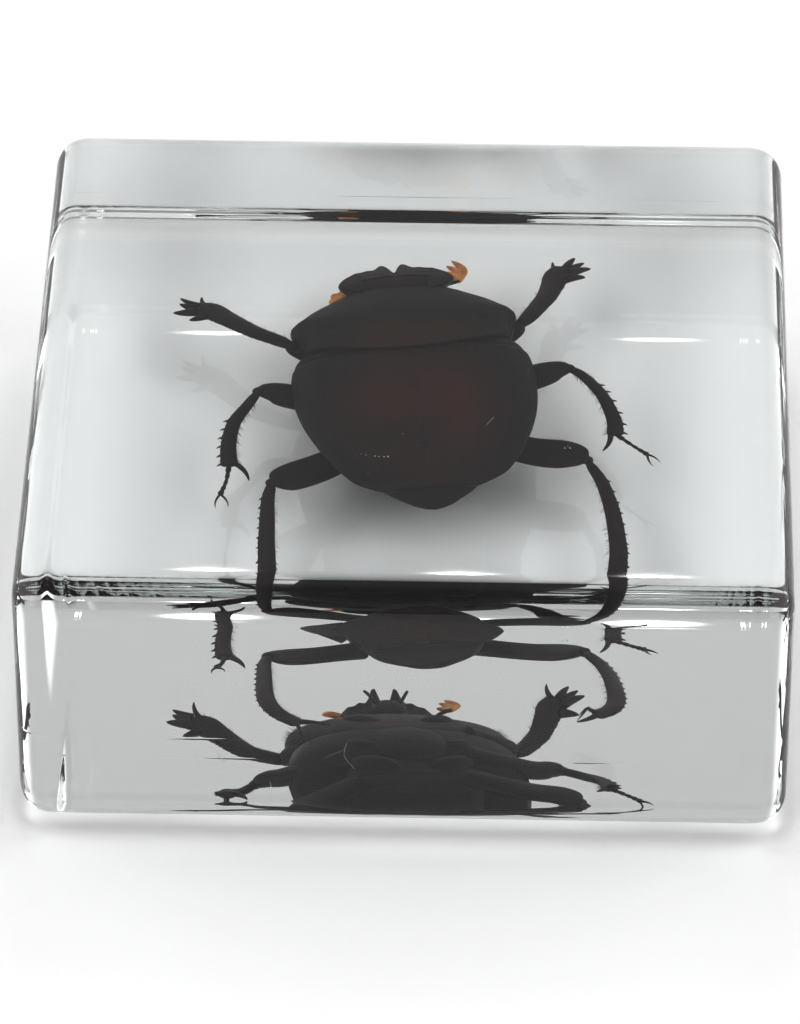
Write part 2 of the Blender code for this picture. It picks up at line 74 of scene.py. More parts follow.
class Wire:
    """A socket that carries a number, so that sums on it are written as Python expressions."""

    def __init__(self, graph: "Graph", socket: bpy.types.NodeSocket) -> None:
        """Wraps a socket.

        Args:
            graph: the graph that the socket belongs to.
            socket: the output socket.
        """
        self.graph = graph
        self.socket = socket

    def maths(self, operation: str, first: Any, second: Any = 0.0) -> "Wire":
        """A Math node.

        Args:
            operation: the node's operation.
            first: first value or wire.
            second: second value or wire.

        Returns:
            The node's output.
        """
        return self.graph.add("ShaderNodeMath", {"operation": operation}, {0: first, 1: second})

    def __add__(self, other: Any) -> "Wire":
        """self + other."""
        return self.maths("ADD", self, other)

    def __radd__(self, other: Any) -> "Wire":
        """other + self."""
        return self.maths("ADD", other, self)

    def __sub__(self, other: Any) -> "Wire":
        """self - other."""
        return self.maths("SUBTRACT", self, other)

    def __rsub__(self, other: Any) -> "Wire":
        """other - self."""
        return self.maths("SUBTRACT", other, self)

    def __mul__(self, other: Any) -> "Wire":
        """self * other."""
        return self.maths("MULTIPLY", self, other)

    def __rmul__(self, other: Any) -> "Wire":
        """other * self."""
        return self.maths("MULTIPLY", other, self)

    def __truediv__(self, other: Any) -> "Wire":
        """self / other."""
        return self.maths("DIVIDE", self, other)

    def __rtruediv__(self, other: Any) -> "Wire":
        """other / self."""
        return self.maths("DIVIDE", other, self)

    def __neg__(self) -> "Wire":
        """-self."""
        return self.maths("MULTIPLY", self, -1.0)

    def bell(self, centre: float, width: float) -> "Wire":
        """A hump, exp(-((self - centre) / width)^2).

        Args:
            centre: where the hump stands.
            width: its half width.

        Returns:
            The hump's height, from 0 to 1.
        """
        away = (self - centre) / width
        return self.maths("EXPONENT", -(away * away))

    def step(self, low: float, high: float) -> "Wire":
        """A smooth step from 0 at low to 1 at high."""
        sockets = {"Value": self, "From Min": low, "From Max": high}
        return self.graph.add("ShaderNodeMapRange", {"interpolation_type": "SMOOTHSTEP"}, sockets)


class Graph:
    """A node tree with one method that adds any node."""

    def __init__(self, tree: bpy.types.NodeTree) -> None:
        """Wraps a node tree."""
        self.tree = tree

    def add(
        self,
        kind: str,
        settings: Mapping[str, Any] | None = None,
        sockets: Mapping[str | int, Any] | None = None,
        output: str | int = 0,
    ) -> Wire:
        """Adds a node, gives it its settings, then its sockets' values or links.

        Args:
            kind: the node's type.
            settings: its properties.
            sockets: a value or a wire for each input, by name or number.
            output: the output that is returned.

        Returns:
            The chosen output.
        """
        node = self.tree.nodes.new(kind)
        for name, value in (settings or {}).items():
            setattr(node, name, value)
        for name, value in (sockets or {}).items():
            self.feed(node.inputs[name], value)
        return Wire(self, node.outputs[output])

    def feed(self, socket: bpy.types.NodeSocket, value: Any) -> None:
        """Links a wire to an input, or sets the input's own value.

        Args:
            socket: the input.
            value: a wire, a number or a colour.
        """
        if isinstance(value, Wire):
            self.tree.links.new(value.socket, socket)
        else:
            socket.default_value = value

    def mix(self, factor: Any, first: Any, second: Any) -> Wire:
        """A colour between two others.

        Args:
            factor: 0 gives the first, 1 the second.
            first: a colour or a wire.
            second: a colour or a wire.

        Returns:
            The mixed colour.
        """
        mixed = {0: factor, 6: _opaque(first), 7: _opaque(second)}
        return self.add("ShaderNodeMix", {"data_type": "RGBA"}, mixed, 2)

    def split(self, vector: Wire) -> list[Wire]:
        """A vector's x, y and z."""
        node = self.add("ShaderNodeSeparateXYZ", {}, {0: vector}).socket.node
        return [Wire(self, output) for output in node.outputs]

    def place(self) -> Wire:
        """Object coordinates, in metres."""
        return self.add("ShaderNodeTexCoord", output="Object")

    def noise(self, vector: Wire, scale: float, detail: float = 3.0, roughness: float = 0.5) -> Wire:
        """Noise from 0 to 1, at this many waves a metre."""
        sockets = {"Vector": vector, "Scale": scale, "Detail": detail, "Roughness": roughness}
        return self.add("ShaderNodeTexNoise", {}, sockets, "Fac")

    def cells(self, vector: Wire, scale: float) -> Wire:
        """Distance to the nearest of scattered points, at this many a metre."""
        return self.add("ShaderNodeTexVoronoi", {}, {"Vector": vector, "Scale": scale}, "Distance")

    def bump(self, height: Wire, distance: float) -> Wire:
        """A normal bent by a height.

        Args:
            height: the height, from 0 to 1.
            distance: what 1 stands for, in metres.

        Returns:
            The normal.
        """
        sockets = {"Height": height, "Distance": distance, "Strength": 1.0}
        return self.add("ShaderNodeBump", {}, sockets, "Normal")


def _opaque(colour: Any) -> Any:
    """A colour of three numbers gets a fourth, 1; a wire is left as it is."""
    return colour if isinstance(colour, Wire) else (*colour, 1.0)


def new_material(
    name: str, constants: Mapping[str, Any]
) -> tuple[bpy.types.Material, Graph, bpy.types.Node]:
    """A material whose Principled shader holds these values.

    Args:
        name: the material's name.
        constants: values set on the shader's own sockets.

    Returns:
        The material, its graph and its shader.
    """
    material = bpy.data.materials.new(name)
    material.use_nodes = True
    graph = Graph(material.node_tree)
    shader = material.node_tree.nodes["Principled BSDF"]
    for socket, value in constants.items():
        shader.inputs[socket].default_value = value
    return material, graph, shader


# ---- Finishes ----


@dataclass(frozen=True)
class Chitin:
    """Dried beetle shell: near black, pitted and finely wrinkled, with a warm brown tone in slow patches,
    its pits painted darker as shade.

    A patch is a place on the shell where the warm colour shows most, as x, y and two half widths: partly the
    shell's brown, partly painted light where the light falls on the top.
    Waves are counted per metre. A span is where a smooth step from 0 to 1 starts and ends.
    """

    name: str
    dark: Point = (0.011, 0.0095, 0.0105)
    warm: Point = (0.032, 0.014, 0.011)
    warmth: float = 0.5
    warm_waves: float = 130.0
    warm_span: Pair = (0.2, 0.6)
    brown_and_painted_light_patches: tuple[tuple[float, float, float, float], ...] = ()
    roughness: float = 0.42
    shine: float = 0.12
    # The pits are darkened in colour too: painted shade in the recesses, by this much towards this colour.
    pit_painted_shade_colour: Point = (0.006, 0.005, 0.005)
    pit_painted_shade: float = 0.35
    pit_spacing: float = 0.26
    pit_span: Pair = (0.12, 0.42)
    pit_depth: float = 0.008
    wrinkle: float = 0.12
    wrinkle_depth: float = 0.008
    wrinkle_dulls: float = 0.16
    dust: float = 0.25
    dust_colour: Point = (0.075, 0.062, 0.05)
    dust_waves: float = 420.0
    dust_span: Pair = (0.62, 0.8)
    dust_dulls: float = 0.6

    def brown_and_painted_light(self, graph: Graph, place: Wire) -> Any:
        """The humps of all patches of brown and painted light added up, or 1 where there are none.

        Args:
            graph: the material's graph.
            place: object coordinates.

        Returns:
            A number or a wire, from 0 to 1.
        """
        if not self.brown_and_painted_light_patches:
            return 1.0
        axes = graph.split(place)
        total: Any = 0.0
        for x, y, wide, long in self.brown_and_painted_light_patches:
            total = axes[0].bell(x * MM, wide * MM) * axes[1].bell(y * MM, long * MM) + total
        return total.maths("MINIMUM", total, 1.0)

    def build(self) -> bpy.types.Material:
        """Dark to warm by slow noise and the patches of brown and painted light, pits painted darker as
        shade, with paler dust; the bump is pits and wrinkles.

        Returns:
            The material.
        """
        material, graph, shader = new_material(self.name, {"Specular IOR Level": self.shine, "IOR": 1.5})
        place = graph.place()
        # The warm tone, held to the patches: partly the shell's brown, partly painted light on the top's
        # middle.
        slow = graph.noise(place, self.warm_waves).step(*self.warm_span) * self.brown_and_painted_light(graph, place)
        fine = graph.noise(place, 1.0 / (self.wrinkle * MM), 4.0, 0.6)
        cell = graph.cells(place, 1.0 / (self.pit_spacing * MM))
        pit = 1.0 - cell.step(*self.pit_span)
        dusty = graph.noise(place, self.dust_waves, 5.0, 0.65).step(*self.dust_span) * self.dust
        colour = graph.mix(slow * self.warmth, self.dark, self.warm)
        # Painted shade: the pits are mixed towards a darker colour.
        colour = graph.mix(pit * self.pit_painted_shade, colour, self.pit_painted_shade_colour)
        colour = graph.mix(dusty, colour, self.dust_colour)
        dulled = self.roughness + fine * self.wrinkle_dulls + dusty * self.dust_dulls
        graph.feed(shader.inputs["Base Color"], colour)
        graph.feed(shader.inputs["Roughness"], dulled)
        height = fine * (self.wrinkle_depth / self.pit_depth) - pit
        graph.feed(shader.inputs["Normal"], graph.bump(height, self.pit_depth * MM))
        return material


@dataclass(frozen=True)
class ClubVelvet:
    """The antennal clubs: orange-brown leaves with a short felt of hairs."""

    name: str = "antennal_club"
    pale: Point = (0.8, 0.4, 0.15)
    deep: Point = (0.5, 0.2, 0.06)
    waves: float = 1100.0
    span: Pair = (0.35, 0.68)
    felt_waves: float = 9000.0
    felt_depth: float = 0.02
    light_reach: Point = (0.0006, 0.0003, 0.0001)

    def build(self) -> bpy.types.Material:
        """Colour runs from deep to pale by noise; the bump is the felt.

        Returns:
            The material.
        """
        constants = {
            "Roughness": 0.7,
            "Specular IOR Level": 0.15,
            "Subsurface Weight": 0.25,
            "Subsurface Radius": self.light_reach,
        }
        material, graph, shader = new_material(self.name, constants)
        place = graph.place()
        felt = graph.noise(place, self.felt_waves, 4.0, 0.6)
        tone = graph.noise(place, self.waves).step(*self.span)
        graph.feed(shader.inputs["Base Color"], graph.mix(tone, self.deep, self.pale))
        graph.feed(shader.inputs["Normal"], graph.bump(felt, self.felt_depth * MM))
        return material


@dataclass(frozen=True)
class Mottled:
    """A plain finish for pieces too fine to hold a pattern: its colour runs from deep to pale by noise."""

    name: str
    deep: Point
    pale: Point
    waves: float
    span: Pair | None = None
    roughness: float = 0.7
    shine: float = 0.1

    def build(self) -> bpy.types.Material:
        """Noise picks the colour, through a smooth step where there is a span.

        Returns:
            The material.
        """
        constants = {"Roughness": self.roughness, "Specular IOR Level": self.shine}
        material, graph, shader = new_material(self.name, constants)
        tone = graph.noise(graph.place(), self.waves, 2.0)
        if self.span:
            tone = tone.step(*self.span)
        graph.feed(shader.inputs["Base Color"], graph.mix(tone, self.deep, self.pale))
        return material


BRISTLE = Mottled("bristle", (0.02, 0.011, 0.008), (0.09, 0.045, 0.022), 1600.0, (0.35, 0.7), 0.45, 0.2)
FLECK = Mottled("trapped_fleck", (0.45, 0.43, 0.4), (0.75, 0.74, 0.7), 3000.0)


@dataclass(frozen=True)
class ClearResin:
    """Polished casting resin: clear, with a faint cool cast, two faint pour lines and a slight ripple."""

    name: str = "clear_resin"
    index: float = 1.66
    tint: Point = (0.985, 0.992, 0.995)
    absorbed: Point = (0.86, 0.875, 0.868)
    density: float = 20.0
    pour_heights: tuple[float, ...] = (6.15, 4.85)
    line_width: float = 0.045
    line_depth: float = 0.0045
    gap_stretch: Point = (1.0, 1.0, 6.0)
    gap_waves: float = 95.0
    gap_span: Pair = (0.47, 0.58)
    ripple_waves: float = 55.0
    ripple_depth: float = 0.0007

    def build(self) -> bpy.types.Material:
        """Transmission is plain; the bump is slow ripple, and a thin broken line at each pour height.

        Returns:
            The material.
        """
        constants = {
            "Base Color": (*self.tint, 1.0),
            "Transmission Weight": 1.0,
            "IOR": self.index,
            "Roughness": 0.0,
        }
        material, graph, shader = new_material(self.name, constants)
        place = graph.place()
        height = graph.split(place)[2]
        stretch = {0: place, 1: self.gap_stretch}
        along = graph.add("ShaderNodeVectorMath", {"operation": "MULTIPLY"}, stretch)
        gate = graph.noise(along, self.gap_waves, 2.0).step(*self.gap_span)
        lines: Any = 0.0
        for pour in self.pour_heights:
            lines = height.bell(pour * MM, self.line_width * MM) + lines
        ripple = graph.noise(place, self.ripple_waves, 1.0)
        relief = lines * gate * self.line_depth + ripple * self.ripple_depth
        graph.feed(shader.inputs["Normal"], graph.bump(relief, MM))
        fill = {"Color": (*self.absorbed, 1.0), "Density": self.density}
        volume = graph.add("ShaderNodeVolumeAbsorption", {}, fill)
        graph.feed(graph.tree.nodes["Material Output"].inputs["Volume"], volume)
        return material


# ---- Surfaces ----


def rows_along(rows: Sequence[Row], share: Array) -> Array:
    """A Catmull-Rom curve through rows of numbers: each stretch blends four rows by cubic weights.

    Args:
        rows: the rows it passes through.
        share: where to read it, from 0 at the first row to 1 at the last.

    Returns:
        One row of numbers for each share.
    """
    table = np.asarray(rows, float)
    padded = np.vstack([2 * table[0] - table[1], table, 2 * table[-1] - table[-2]])
    at = np.clip(share, 0.0, 1.0) * (len(table) - 1)
    first = np.minimum(at.astype(int), len(table) - 2)
    t = (at - first)[:, None]
    a, b, c, d = (padded[first + k] for k in range(4))
    squared = (2 * a - 5 * b + 4 * c - d) * t**2
    cubed = (3 * b - a - 3 * c + d) * t**3
    return b + ((c - a) * t + squared + cubed) / 2


def bell(x: Array, centre: float | Array, width: float) -> Array:
    """A hump of height 1: exp(-((x - centre) / width)^2)."""
    return np.exp(-(((x - centre) / width) ** 2))


@dataclass(frozen=True)
class Hump:
    """A bell-shaped rise: its height, where it stands and its width."""

    height: float
    centre: float
    width: float

    def at(self, x: Array) -> Array:
        """The rise at x."""
        return self.height * bell(x, self.centre, self.width)


def unit(vectors: Array) -> Array:
    """The vectors, each brought to a length of 1."""
    return vectors / np.linalg.norm(vectors, axis=-1, keepdims=True)


def circle(sides: int) -> Array:
    """Equal steps round a circle, in radians."""
    return np.linspace(0.0, 2 * math.pi, sides, endpoint=False)


def out_and_back(outer: Array, inner: Array) -> Array:
    """A closed section: out along its outer side, then back along its inner one."""
    return np.concatenate([outer, inner[:, ::-1]], axis=1)


class Skin:
    """Closed surfaces gathered into one mesh."""

    def __init__(self) -> None:
        """Starts with nothing."""
        self.points: list[Array] = []
        self.quads: list[NDArray[np.int64]] = []
        self.fans: list[NDArray[np.int64]] = []
        self.count = 0

    def tubes(self, rings: Array, near: Array, far: Array) -> None:
        """Adds many tubes at once, each a stack of rings shut by a fan to a pole at each end.

        Args:
            rings: points, shaped (tube, ring, side, 3), each ring turning the same way.
            near: a pole before each tube's first ring, shaped (tube, 3).
            far: a pole after its last ring.
        """
        tubes, stack, sides, _ = rings.shape
        index = self.count + np.arange(tubes * stack * sides).reshape(tubes, stack, sides)
        after = np.roll(index, -1, axis=2)
        quads = np.stack([index[:, :-1], after[:, :-1], after[:, 1:], index[:, 1:]], axis=-1).reshape(-1, 4)
        poles = self.count + index.size + np.arange(2 * tubes).reshape(2, tubes, 1)
        shape = (tubes, sides)
        first = np.stack([after[:, 0], index[:, 0], np.broadcast_to(poles[0], shape)], axis=-1)
        last = np.stack([index[:, -1], after[:, -1], np.broadcast_to(poles[1], shape)], axis=-1)
        fans = np.concatenate([first.reshape(-1, 3), last.reshape(-1, 3)])
        if self._volume(rings[0]) < 0:
            quads, fans = quads[:, ::-1], fans[:, ::-1]
        self.points += [rings.reshape(-1, 3), near, far]
        self.quads.append(quads)
        self.fans.append(fans)
        self.count += index.size + 2 * tubes

    def tube(self, rings: Array, near: Array, far: Array) -> None:
        """Adds one tube, with rings shaped (ring, side, 3)."""
        self.tubes(rings[None], np.asarray(near)[None], np.asarray(far)[None])

    def loft(self, rings: Array, far: Array | None = None) -> None:
        """Adds one tube, shut at the middles of its end rings, or at a given pole after the last."""
        self.tube(rings, rings[0].mean(axis=0), rings[-1].mean(axis=0) if far is None else far)

    @staticmethod
    def _volume(rings: Array) -> float:
        """The signed volume of a tube's faces seen from its middle: positive where they face outwards.

        Args:
            rings: the tube, shaped (ring, side, 3).

        Returns:
            Six times the volume.
        """
        centre = rings.mean(axis=(0, 1))
        one = rings[:-1] - centre
        side = np.roll(rings, -1, axis=1)[:-1] - centre
        two = rings[1:] - centre
        return float((np.cross(one, side) * two).sum())

    def blob(self, centre: Array, radii: Sequence[float], turn: float, sides: int) -> None:
        """Adds an ellipsoid: radii times the unit sphere, turned about Z.

        Args:
            centre: its middle.
            radii: its three half sizes.
            turn: its turn about Z, in radians.
            sides: its faces around.
        """
        polar = np.linspace(0, math.pi, sides // 2 + 1)[1:-1, None]
        angle = circle(sides)[None, :]
        sphere = [np.sin(polar) * np.cos(angle), np.sin(polar) * np.sin(angle), np.cos(polar) + 0 * angle]
        x, y, z = (part * radius for part, radius in zip(sphere, radii))
        cosine, sine = math.cos(turn), math.sin(turn)
        rings = np.stack([x * cosine - y * sine, x * sine + y * cosine, z], axis=-1) + centre
        pole = np.array([0.0, 0.0, radii[2]])
        self.tube(rings, centre + pole, centre - pole)

    def mesh(self, name: str) -> bpy.types.Mesh:
        """The gathered surfaces as a mesh, in metres, shaded smooth.

        Args:
            name: the mesh's name.

        Returns:
            The mesh.
        """
        mesh = bpy.data.meshes.new(name)
        points = np.concatenate(self.points) * MM
        faces = np.concatenate(self.quads).tolist() + np.concatenate(self.fans).tolist()
        mesh.from_pydata(points, [], faces)
        mesh.update()
        mesh.shade_smooth()
        return mesh


def limb(
    rows: Sequence[Row],
    rings: int,
    sides: int,
    roll: float = 0.0,
    relief: Callable[[Array, Array], Array] | None = None,
    ends: Pair = (0.0, 0.0),
) -> tuple[Array, Array, Array]:
    """An elliptical tube on a smooth path: point + across * breadth/2 * cos(a) + up * thickness/2 * sin(a).

    Args:
        rows: x, y, z, breadth and thickness along the path.
        rings: how many rings.
        sides: points in a ring.
        roll: how far the breadth is tipped about the path, in degrees.
        relief: a factor on the ring's radius, from the share of the length and the angle.
        ends: the share of the length over which each end rounds off.

    Returns:
        The rings, and the poles before and after them.
    """
    share = np.linspace(0.0, 1.0, rings)
    if max(ends) > 0:
        share = 0.5 - 0.5 * np.cos(share * math.pi)
    table = rows_along(rows, share)
    path = table[:, :3]
    ahead = unit(np.gradient(path, axis=0))
    across = unit(np.cross(UP, ahead))
    lift = np.cross(ahead, across)
    turned = math.radians(roll)
    side = across * math.cos(turned) + lift * math.sin(turned)
    over = np.cross(ahead, side)
    shrink = np.ones(rings)
    for length, from_end in ((ends[0], share), (ends[1], 1.0 - share)):
        if length > 0:
            near = np.clip(1.0 - from_end / length, 0.0, 1.0)
            shrink *= np.sqrt(np.maximum(1.0 - near**2, 0.02))
    angle = circle(sides)
    factor = np.ones((rings, sides)) if relief is None else relief(share[:, None], angle[None, :])
    wide = (table[:, 3] / 2 * shrink)[:, None] * np.cos(angle) * factor
    high = (table[:, 4] / 2 * shrink)[:, None] * np.sin(angle) * factor
    grid = path[:, None] + side[:, None] * wide[..., None] + over[:, None] * high[..., None]
    reach = table[[0, -1], 4] * shrink[[0, -1]] * 0.3
    return grid, path[0] - ahead[0] * reach[0], path[-1] + ahead[-1] * reach[1]


def spines(
    roots: Array,
    tips: Array,
    radii: Array,
    bend: Array,
    rings: int,
    sides: int,
    taper: float = 0.8,
) -> tuple[Array, Array, Array]:
    """Many tapered spines at once: the radius falls as (1 - t)^taper and the middle bows by bend * 4t(1-t).

    Args:
        roots: where they start, shaped (spine, 3).
        tips: where they end.
        radii: their radius at the root.
        bend: how far each bows at its middle.
        rings: rings in each.
        sides: points in a ring.
        taper: how the radius falls, where less is blunter.

    Returns:
        The rings, shaped (spine, ring, side, 3), and the poles.
    """
    t = np.linspace(0.0, 0.93, rings)[None, :, None]
    line = roots[:, None] + (tips - roots)[:, None] * t + bend[:, None] * (4 * t * (1 - t))
    ahead = unit(tips - roots)
    other = np.where(np.abs(ahead[:, 2:]) > 0.8, np.array([[1.0, 0.0, 0.0]]), UP[None])
    side = unit(np.cross(other, ahead))
    over = np.cross(ahead, side)
    angle = circle(sides)
    ring = side[:, None] * np.cos(angle)[:, None] + over[:, None] * np.sin(angle)[:, None]
    radius = radii[:, None, None] * (1 - t) ** taper
    grid = line[:, :, None] + ring[:, None] * radius[..., None]
    return grid, roots - ahead * radii[:, None] * 0.4, tips


def link(name: str, data: bpy.types.ID) -> bpy.types.Object:
    """A new object in the scene that holds this mesh or camera.

    Args:
        name: the object's name.
        data: what it holds.

    Returns:
        The object.
    """
    thing = bpy.data.objects.new(name, data)
    bpy.context.scene.collection.objects.link(thing)
    return thing


def show(name: str, mesh: bpy.types.Mesh, material: bpy.types.Material, slot: str, *nodes: str) -> None:
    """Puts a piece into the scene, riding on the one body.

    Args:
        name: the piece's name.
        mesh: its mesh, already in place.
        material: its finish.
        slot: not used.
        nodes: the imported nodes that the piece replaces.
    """
    piece = link(name, mesh)
    mesh.materials.append(material)
    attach(piece, "root")
    if nodes:
        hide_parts(*nodes)
    triangles = sum(len(face.vertices) - 2 for face in mesh.polygons)
    log.info("%s: %d triangles", name, triangles)


# ---- The beetle ----


def show_shell(name: str, skin: Skin, material: bpy.types.Material) -> None:
    """Puts a part of the beetle into the scene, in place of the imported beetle."""
    show(name, skin.mesh(name), material, "beetle_shell", "dung_beetle")


@dataclass(frozen=True)
class BeetleAxes:
    """The beetle's own axes in the block: s runs forward, w to its right, h up from its side margin."""

    middle: Point = (0.05, 2.8, 6.2)
    turn: float = math.radians(7.5)
    roll: float = math.radians(2.8)

    def place(self, s: Array | float, w: Array | float, h: Array | float) -> Array:
        """The block's point for s, w, h: turned about Z, with the right side raised by w * sin(roll).

        Args:
            s: forward.
            w: to the right.
            h: up.

        Returns:
            The points, in millimetres.
        """
        cosine, sine = math.cos(self.turn), math.sin(self.turn)
        x = self.middle[0] + w * cosine - s * sine
        y = self.middle[1] + w * sine + s * cosine
        z = self.middle[2] + h + w * math.sin(self.roll)
        return np.stack(np.broadcast_arrays(x, y, z), axis=-1)


AXES = BeetleAxes()


def power(x: Array, exponent: float) -> Array:
    """x to a power, with its sign kept."""
    return np.sign(x) * np.abs(x) ** exponent


@dataclass
class BodyShape:
    """Sections along s: rows of s, half width, top h, underside h, the sides' lead and the margin's h."""

    rows: Rows
    fullness: float = 0.82

    def ring(self, share: Array, angle: Array) -> tuple[Array, Array, Array, Array]:
        """A superellipse: w = half cos^f and h = margin + (top or underside - margin) |sin|^f.

        Here f is the fullness, and cos^f keeps its sign. The sides lead the middle by lead |cos|^2f along s.

        Args:
            share: where along the rows, as a column.
            angle: the angle round the section from its right side, as a row.

        Returns:
            s, w, h, and the section's half width.
        """
        table = rows_along(self.rows, share.reshape(-1))[:, None, :]
        across = power(np.cos(angle), self.fullness)
        rise = np.abs(np.sin(angle)) ** self.fullness
        reach = np.where(np.sin(angle) >= 0, table[..., 2], table[..., 3]) - table[..., 5]
        s = table[..., 0] + table[..., 4] * across**2
        return s, table[..., 1] * across, table[..., 5] + reach * rise, table[..., 1]


HIND_SHAPE = BodyShape(
    (
        (3.5, 4.9, 2.0, -2.0, 0.0, 0.0),
        (2.4, 6.0, 2.6, -2.4, 0.0, 0.0),
        (1.3, 6.4, 2.8, -2.5, 0.0, 0.0),
        (0.0, 6.55, 2.9, -2.4, 0.0, 0.0),
        (-1.5, 6.52, 2.85, -1.9, 0.0, 0.2),
        (-3.6, 6.25, 2.8, -0.6, 0.0, 0.9),
        (-5.4, 5.8, 2.7, 0.6, 0.0, 1.45),
        (-7.0, 5.2, 2.5, 1.2, 0.0, 1.65),
        (-8.1, 4.6, 2.15, 1.0, 0.0, 1.55),
        (-8.85, 3.85, 1.7, 0.5, 0.0, 1.1),
        (-9.35, 2.6, 1.1, 0.2, 0.0, 0.6),
    )
)
FORE_SHAPE = BodyShape(
    (
        (1.6, 5.2, 2.96, -2.0, 1.15, 0.0),
        (1.95, 5.6, 3.0, -2.3, 1.0, 0.0),
        (2.9, 5.85, 2.98, -2.4, 0.7, 0.0),
        (4.1, 6.05, 2.8, -2.3, 0.3, 0.0),
        (5.1, 6.05, 2.5, -2.1, 0.1, 0.0),
        (5.75, 5.55, 2.2, -1.9, 0.0, 0.0),
        (6.4, 4.85, 1.85, -1.7, 0.0, 0.0),
        (7.0, 4.0, 1.5, -1.5, 0.0, 0.0),
        (7.5, 3.28, 1.2, -1.3, 0.0, 0.0),
        (7.95, 2.4, 0.9, -1.1, 0.0, 0.0),
        (8.2, 1.5, 0.65, -0.9, 0.0, 0.0),
    )
)
TAIL_SHAPE = BodyShape(
    (
        (-1.0, 3.6, -0.5, -2.1, 0.0, -1.2),
        (-3.6, 3.7, 0.2, -2.0, 0.0, -0.6),
        (-6.0, 3.3, 0.6, -1.6, 0.0, 0.0),
        (-8.1, 3.0, 0.8, -1.0, 0.0, 0.2),
        (-9.2, 2.4, 0.7, -0.65, 0.0, 0.15),
        (-9.8, 1.75, 0.45, -0.5, 0.0, 0.05),
        (-10.3, 1.1, 0.25, -0.4, 0.0, 0.0),
        (-10.6, 0.55, 0.1, -0.25, 0.0, -0.05),
    )
)


@dataclass
class WingCases:
    """The two elytra: each a thin curved shell with eight fine striae, a raised suture and a side rim.

    The span is the part of the body's length that they cover. The bead and the moat stand at shares of the
    width, from 0 at the suture to 1 at the margin. The tuck is how far the front goes down, from which s,
    and over what length.
    """

    finish: Chitin
    span: Pair = (0.06, 0.985)
    striae: int = 8
    stria_depth: float = 0.03
    stria_width: float = 0.011
    swell: float = 0.02
    bead: Hump = Hump(0.02, 0.025, 0.02)
    moat: Hump = Hump(0.05, 0.965, 0.012)
    tuck: Point = (0.5, 1.35, 0.6)
    seam: float = 0.008
    wall: float = 0.3
    lengthwise: int = 150
    crosswise: int = 150

    def relief(self, share: Array, v: Array, s: Array) -> Array:
        """How far the shell rises off the body's upper arc.

        It swells in waves whose crests carry the striae, each a bell-shaped groove, both fading at the ends.
        It gains a bead beside the suture, loses a moat inside the margin, and dips under the pronotum.

        Args:
            share: where along the body's rows, as a column.
            v: the share of the width, from suture to margin, as a row.
            s: the place along the body.

        Returns:
            The rise.
        """
        places = (np.arange(self.striae) + 0.62) / (self.striae + 0.35)
        fade = np.clip(np.minimum(share - 0.05, 1.02 - share) / 0.12, 0, 1)
        groove = sum(bell(v, place, self.stria_width) for place in places)
        wave = 0.5 - 0.5 * np.cos(2 * math.pi * (v * (self.striae + 0.35) - 0.12))
        rise = (self.swell * wave - self.stria_depth * groove) * fade + self.bead.at(v) - self.moat.at(v)
        down, start, length = self.tuck
        return rise - down * np.clip((s - start) / length, 0, 1)

    def shell(self, side: Side) -> Skin:
        """One elytron: the body's upper arc from suture to margin, then back inside it by the wall.

        Args:
            side: left or right.

        Returns:
            Its closed skin.
        """
        share = np.linspace(*self.span, self.lengthwise)[:, None]
        v = np.linspace(0.0, 1.0, self.crosswise)[None, :]
        angle = math.pi / 2 * (1 - v)
        s, w, h, _ = HIND_SHAPE.ring(share, angle)
        lift = self.relief(share, v, s)
        up = np.sin(angle) ** 0.7
        w = np.maximum(w + lift * (1 - up), self.seam)
        h = h + lift * up
        inner_w = np.maximum(w - self.wall * (1 - up), self.seam)
        inner_h = h - self.wall * (0.25 + 0.75 * up)
        across = out_and_back(w, inner_w) * side.value
        skin = Skin()
        skin.loft(AXES.place(out_and_back(s, s), across, out_and_back(h, inner_h)))
        return skin

    def build(self) -> None:
        """Makes the two wing cases."""
        material = self.finish.build()
        for side in Side:
            show_shell(f"wing_case_{side.name.lower()}", self.shell(side), material)


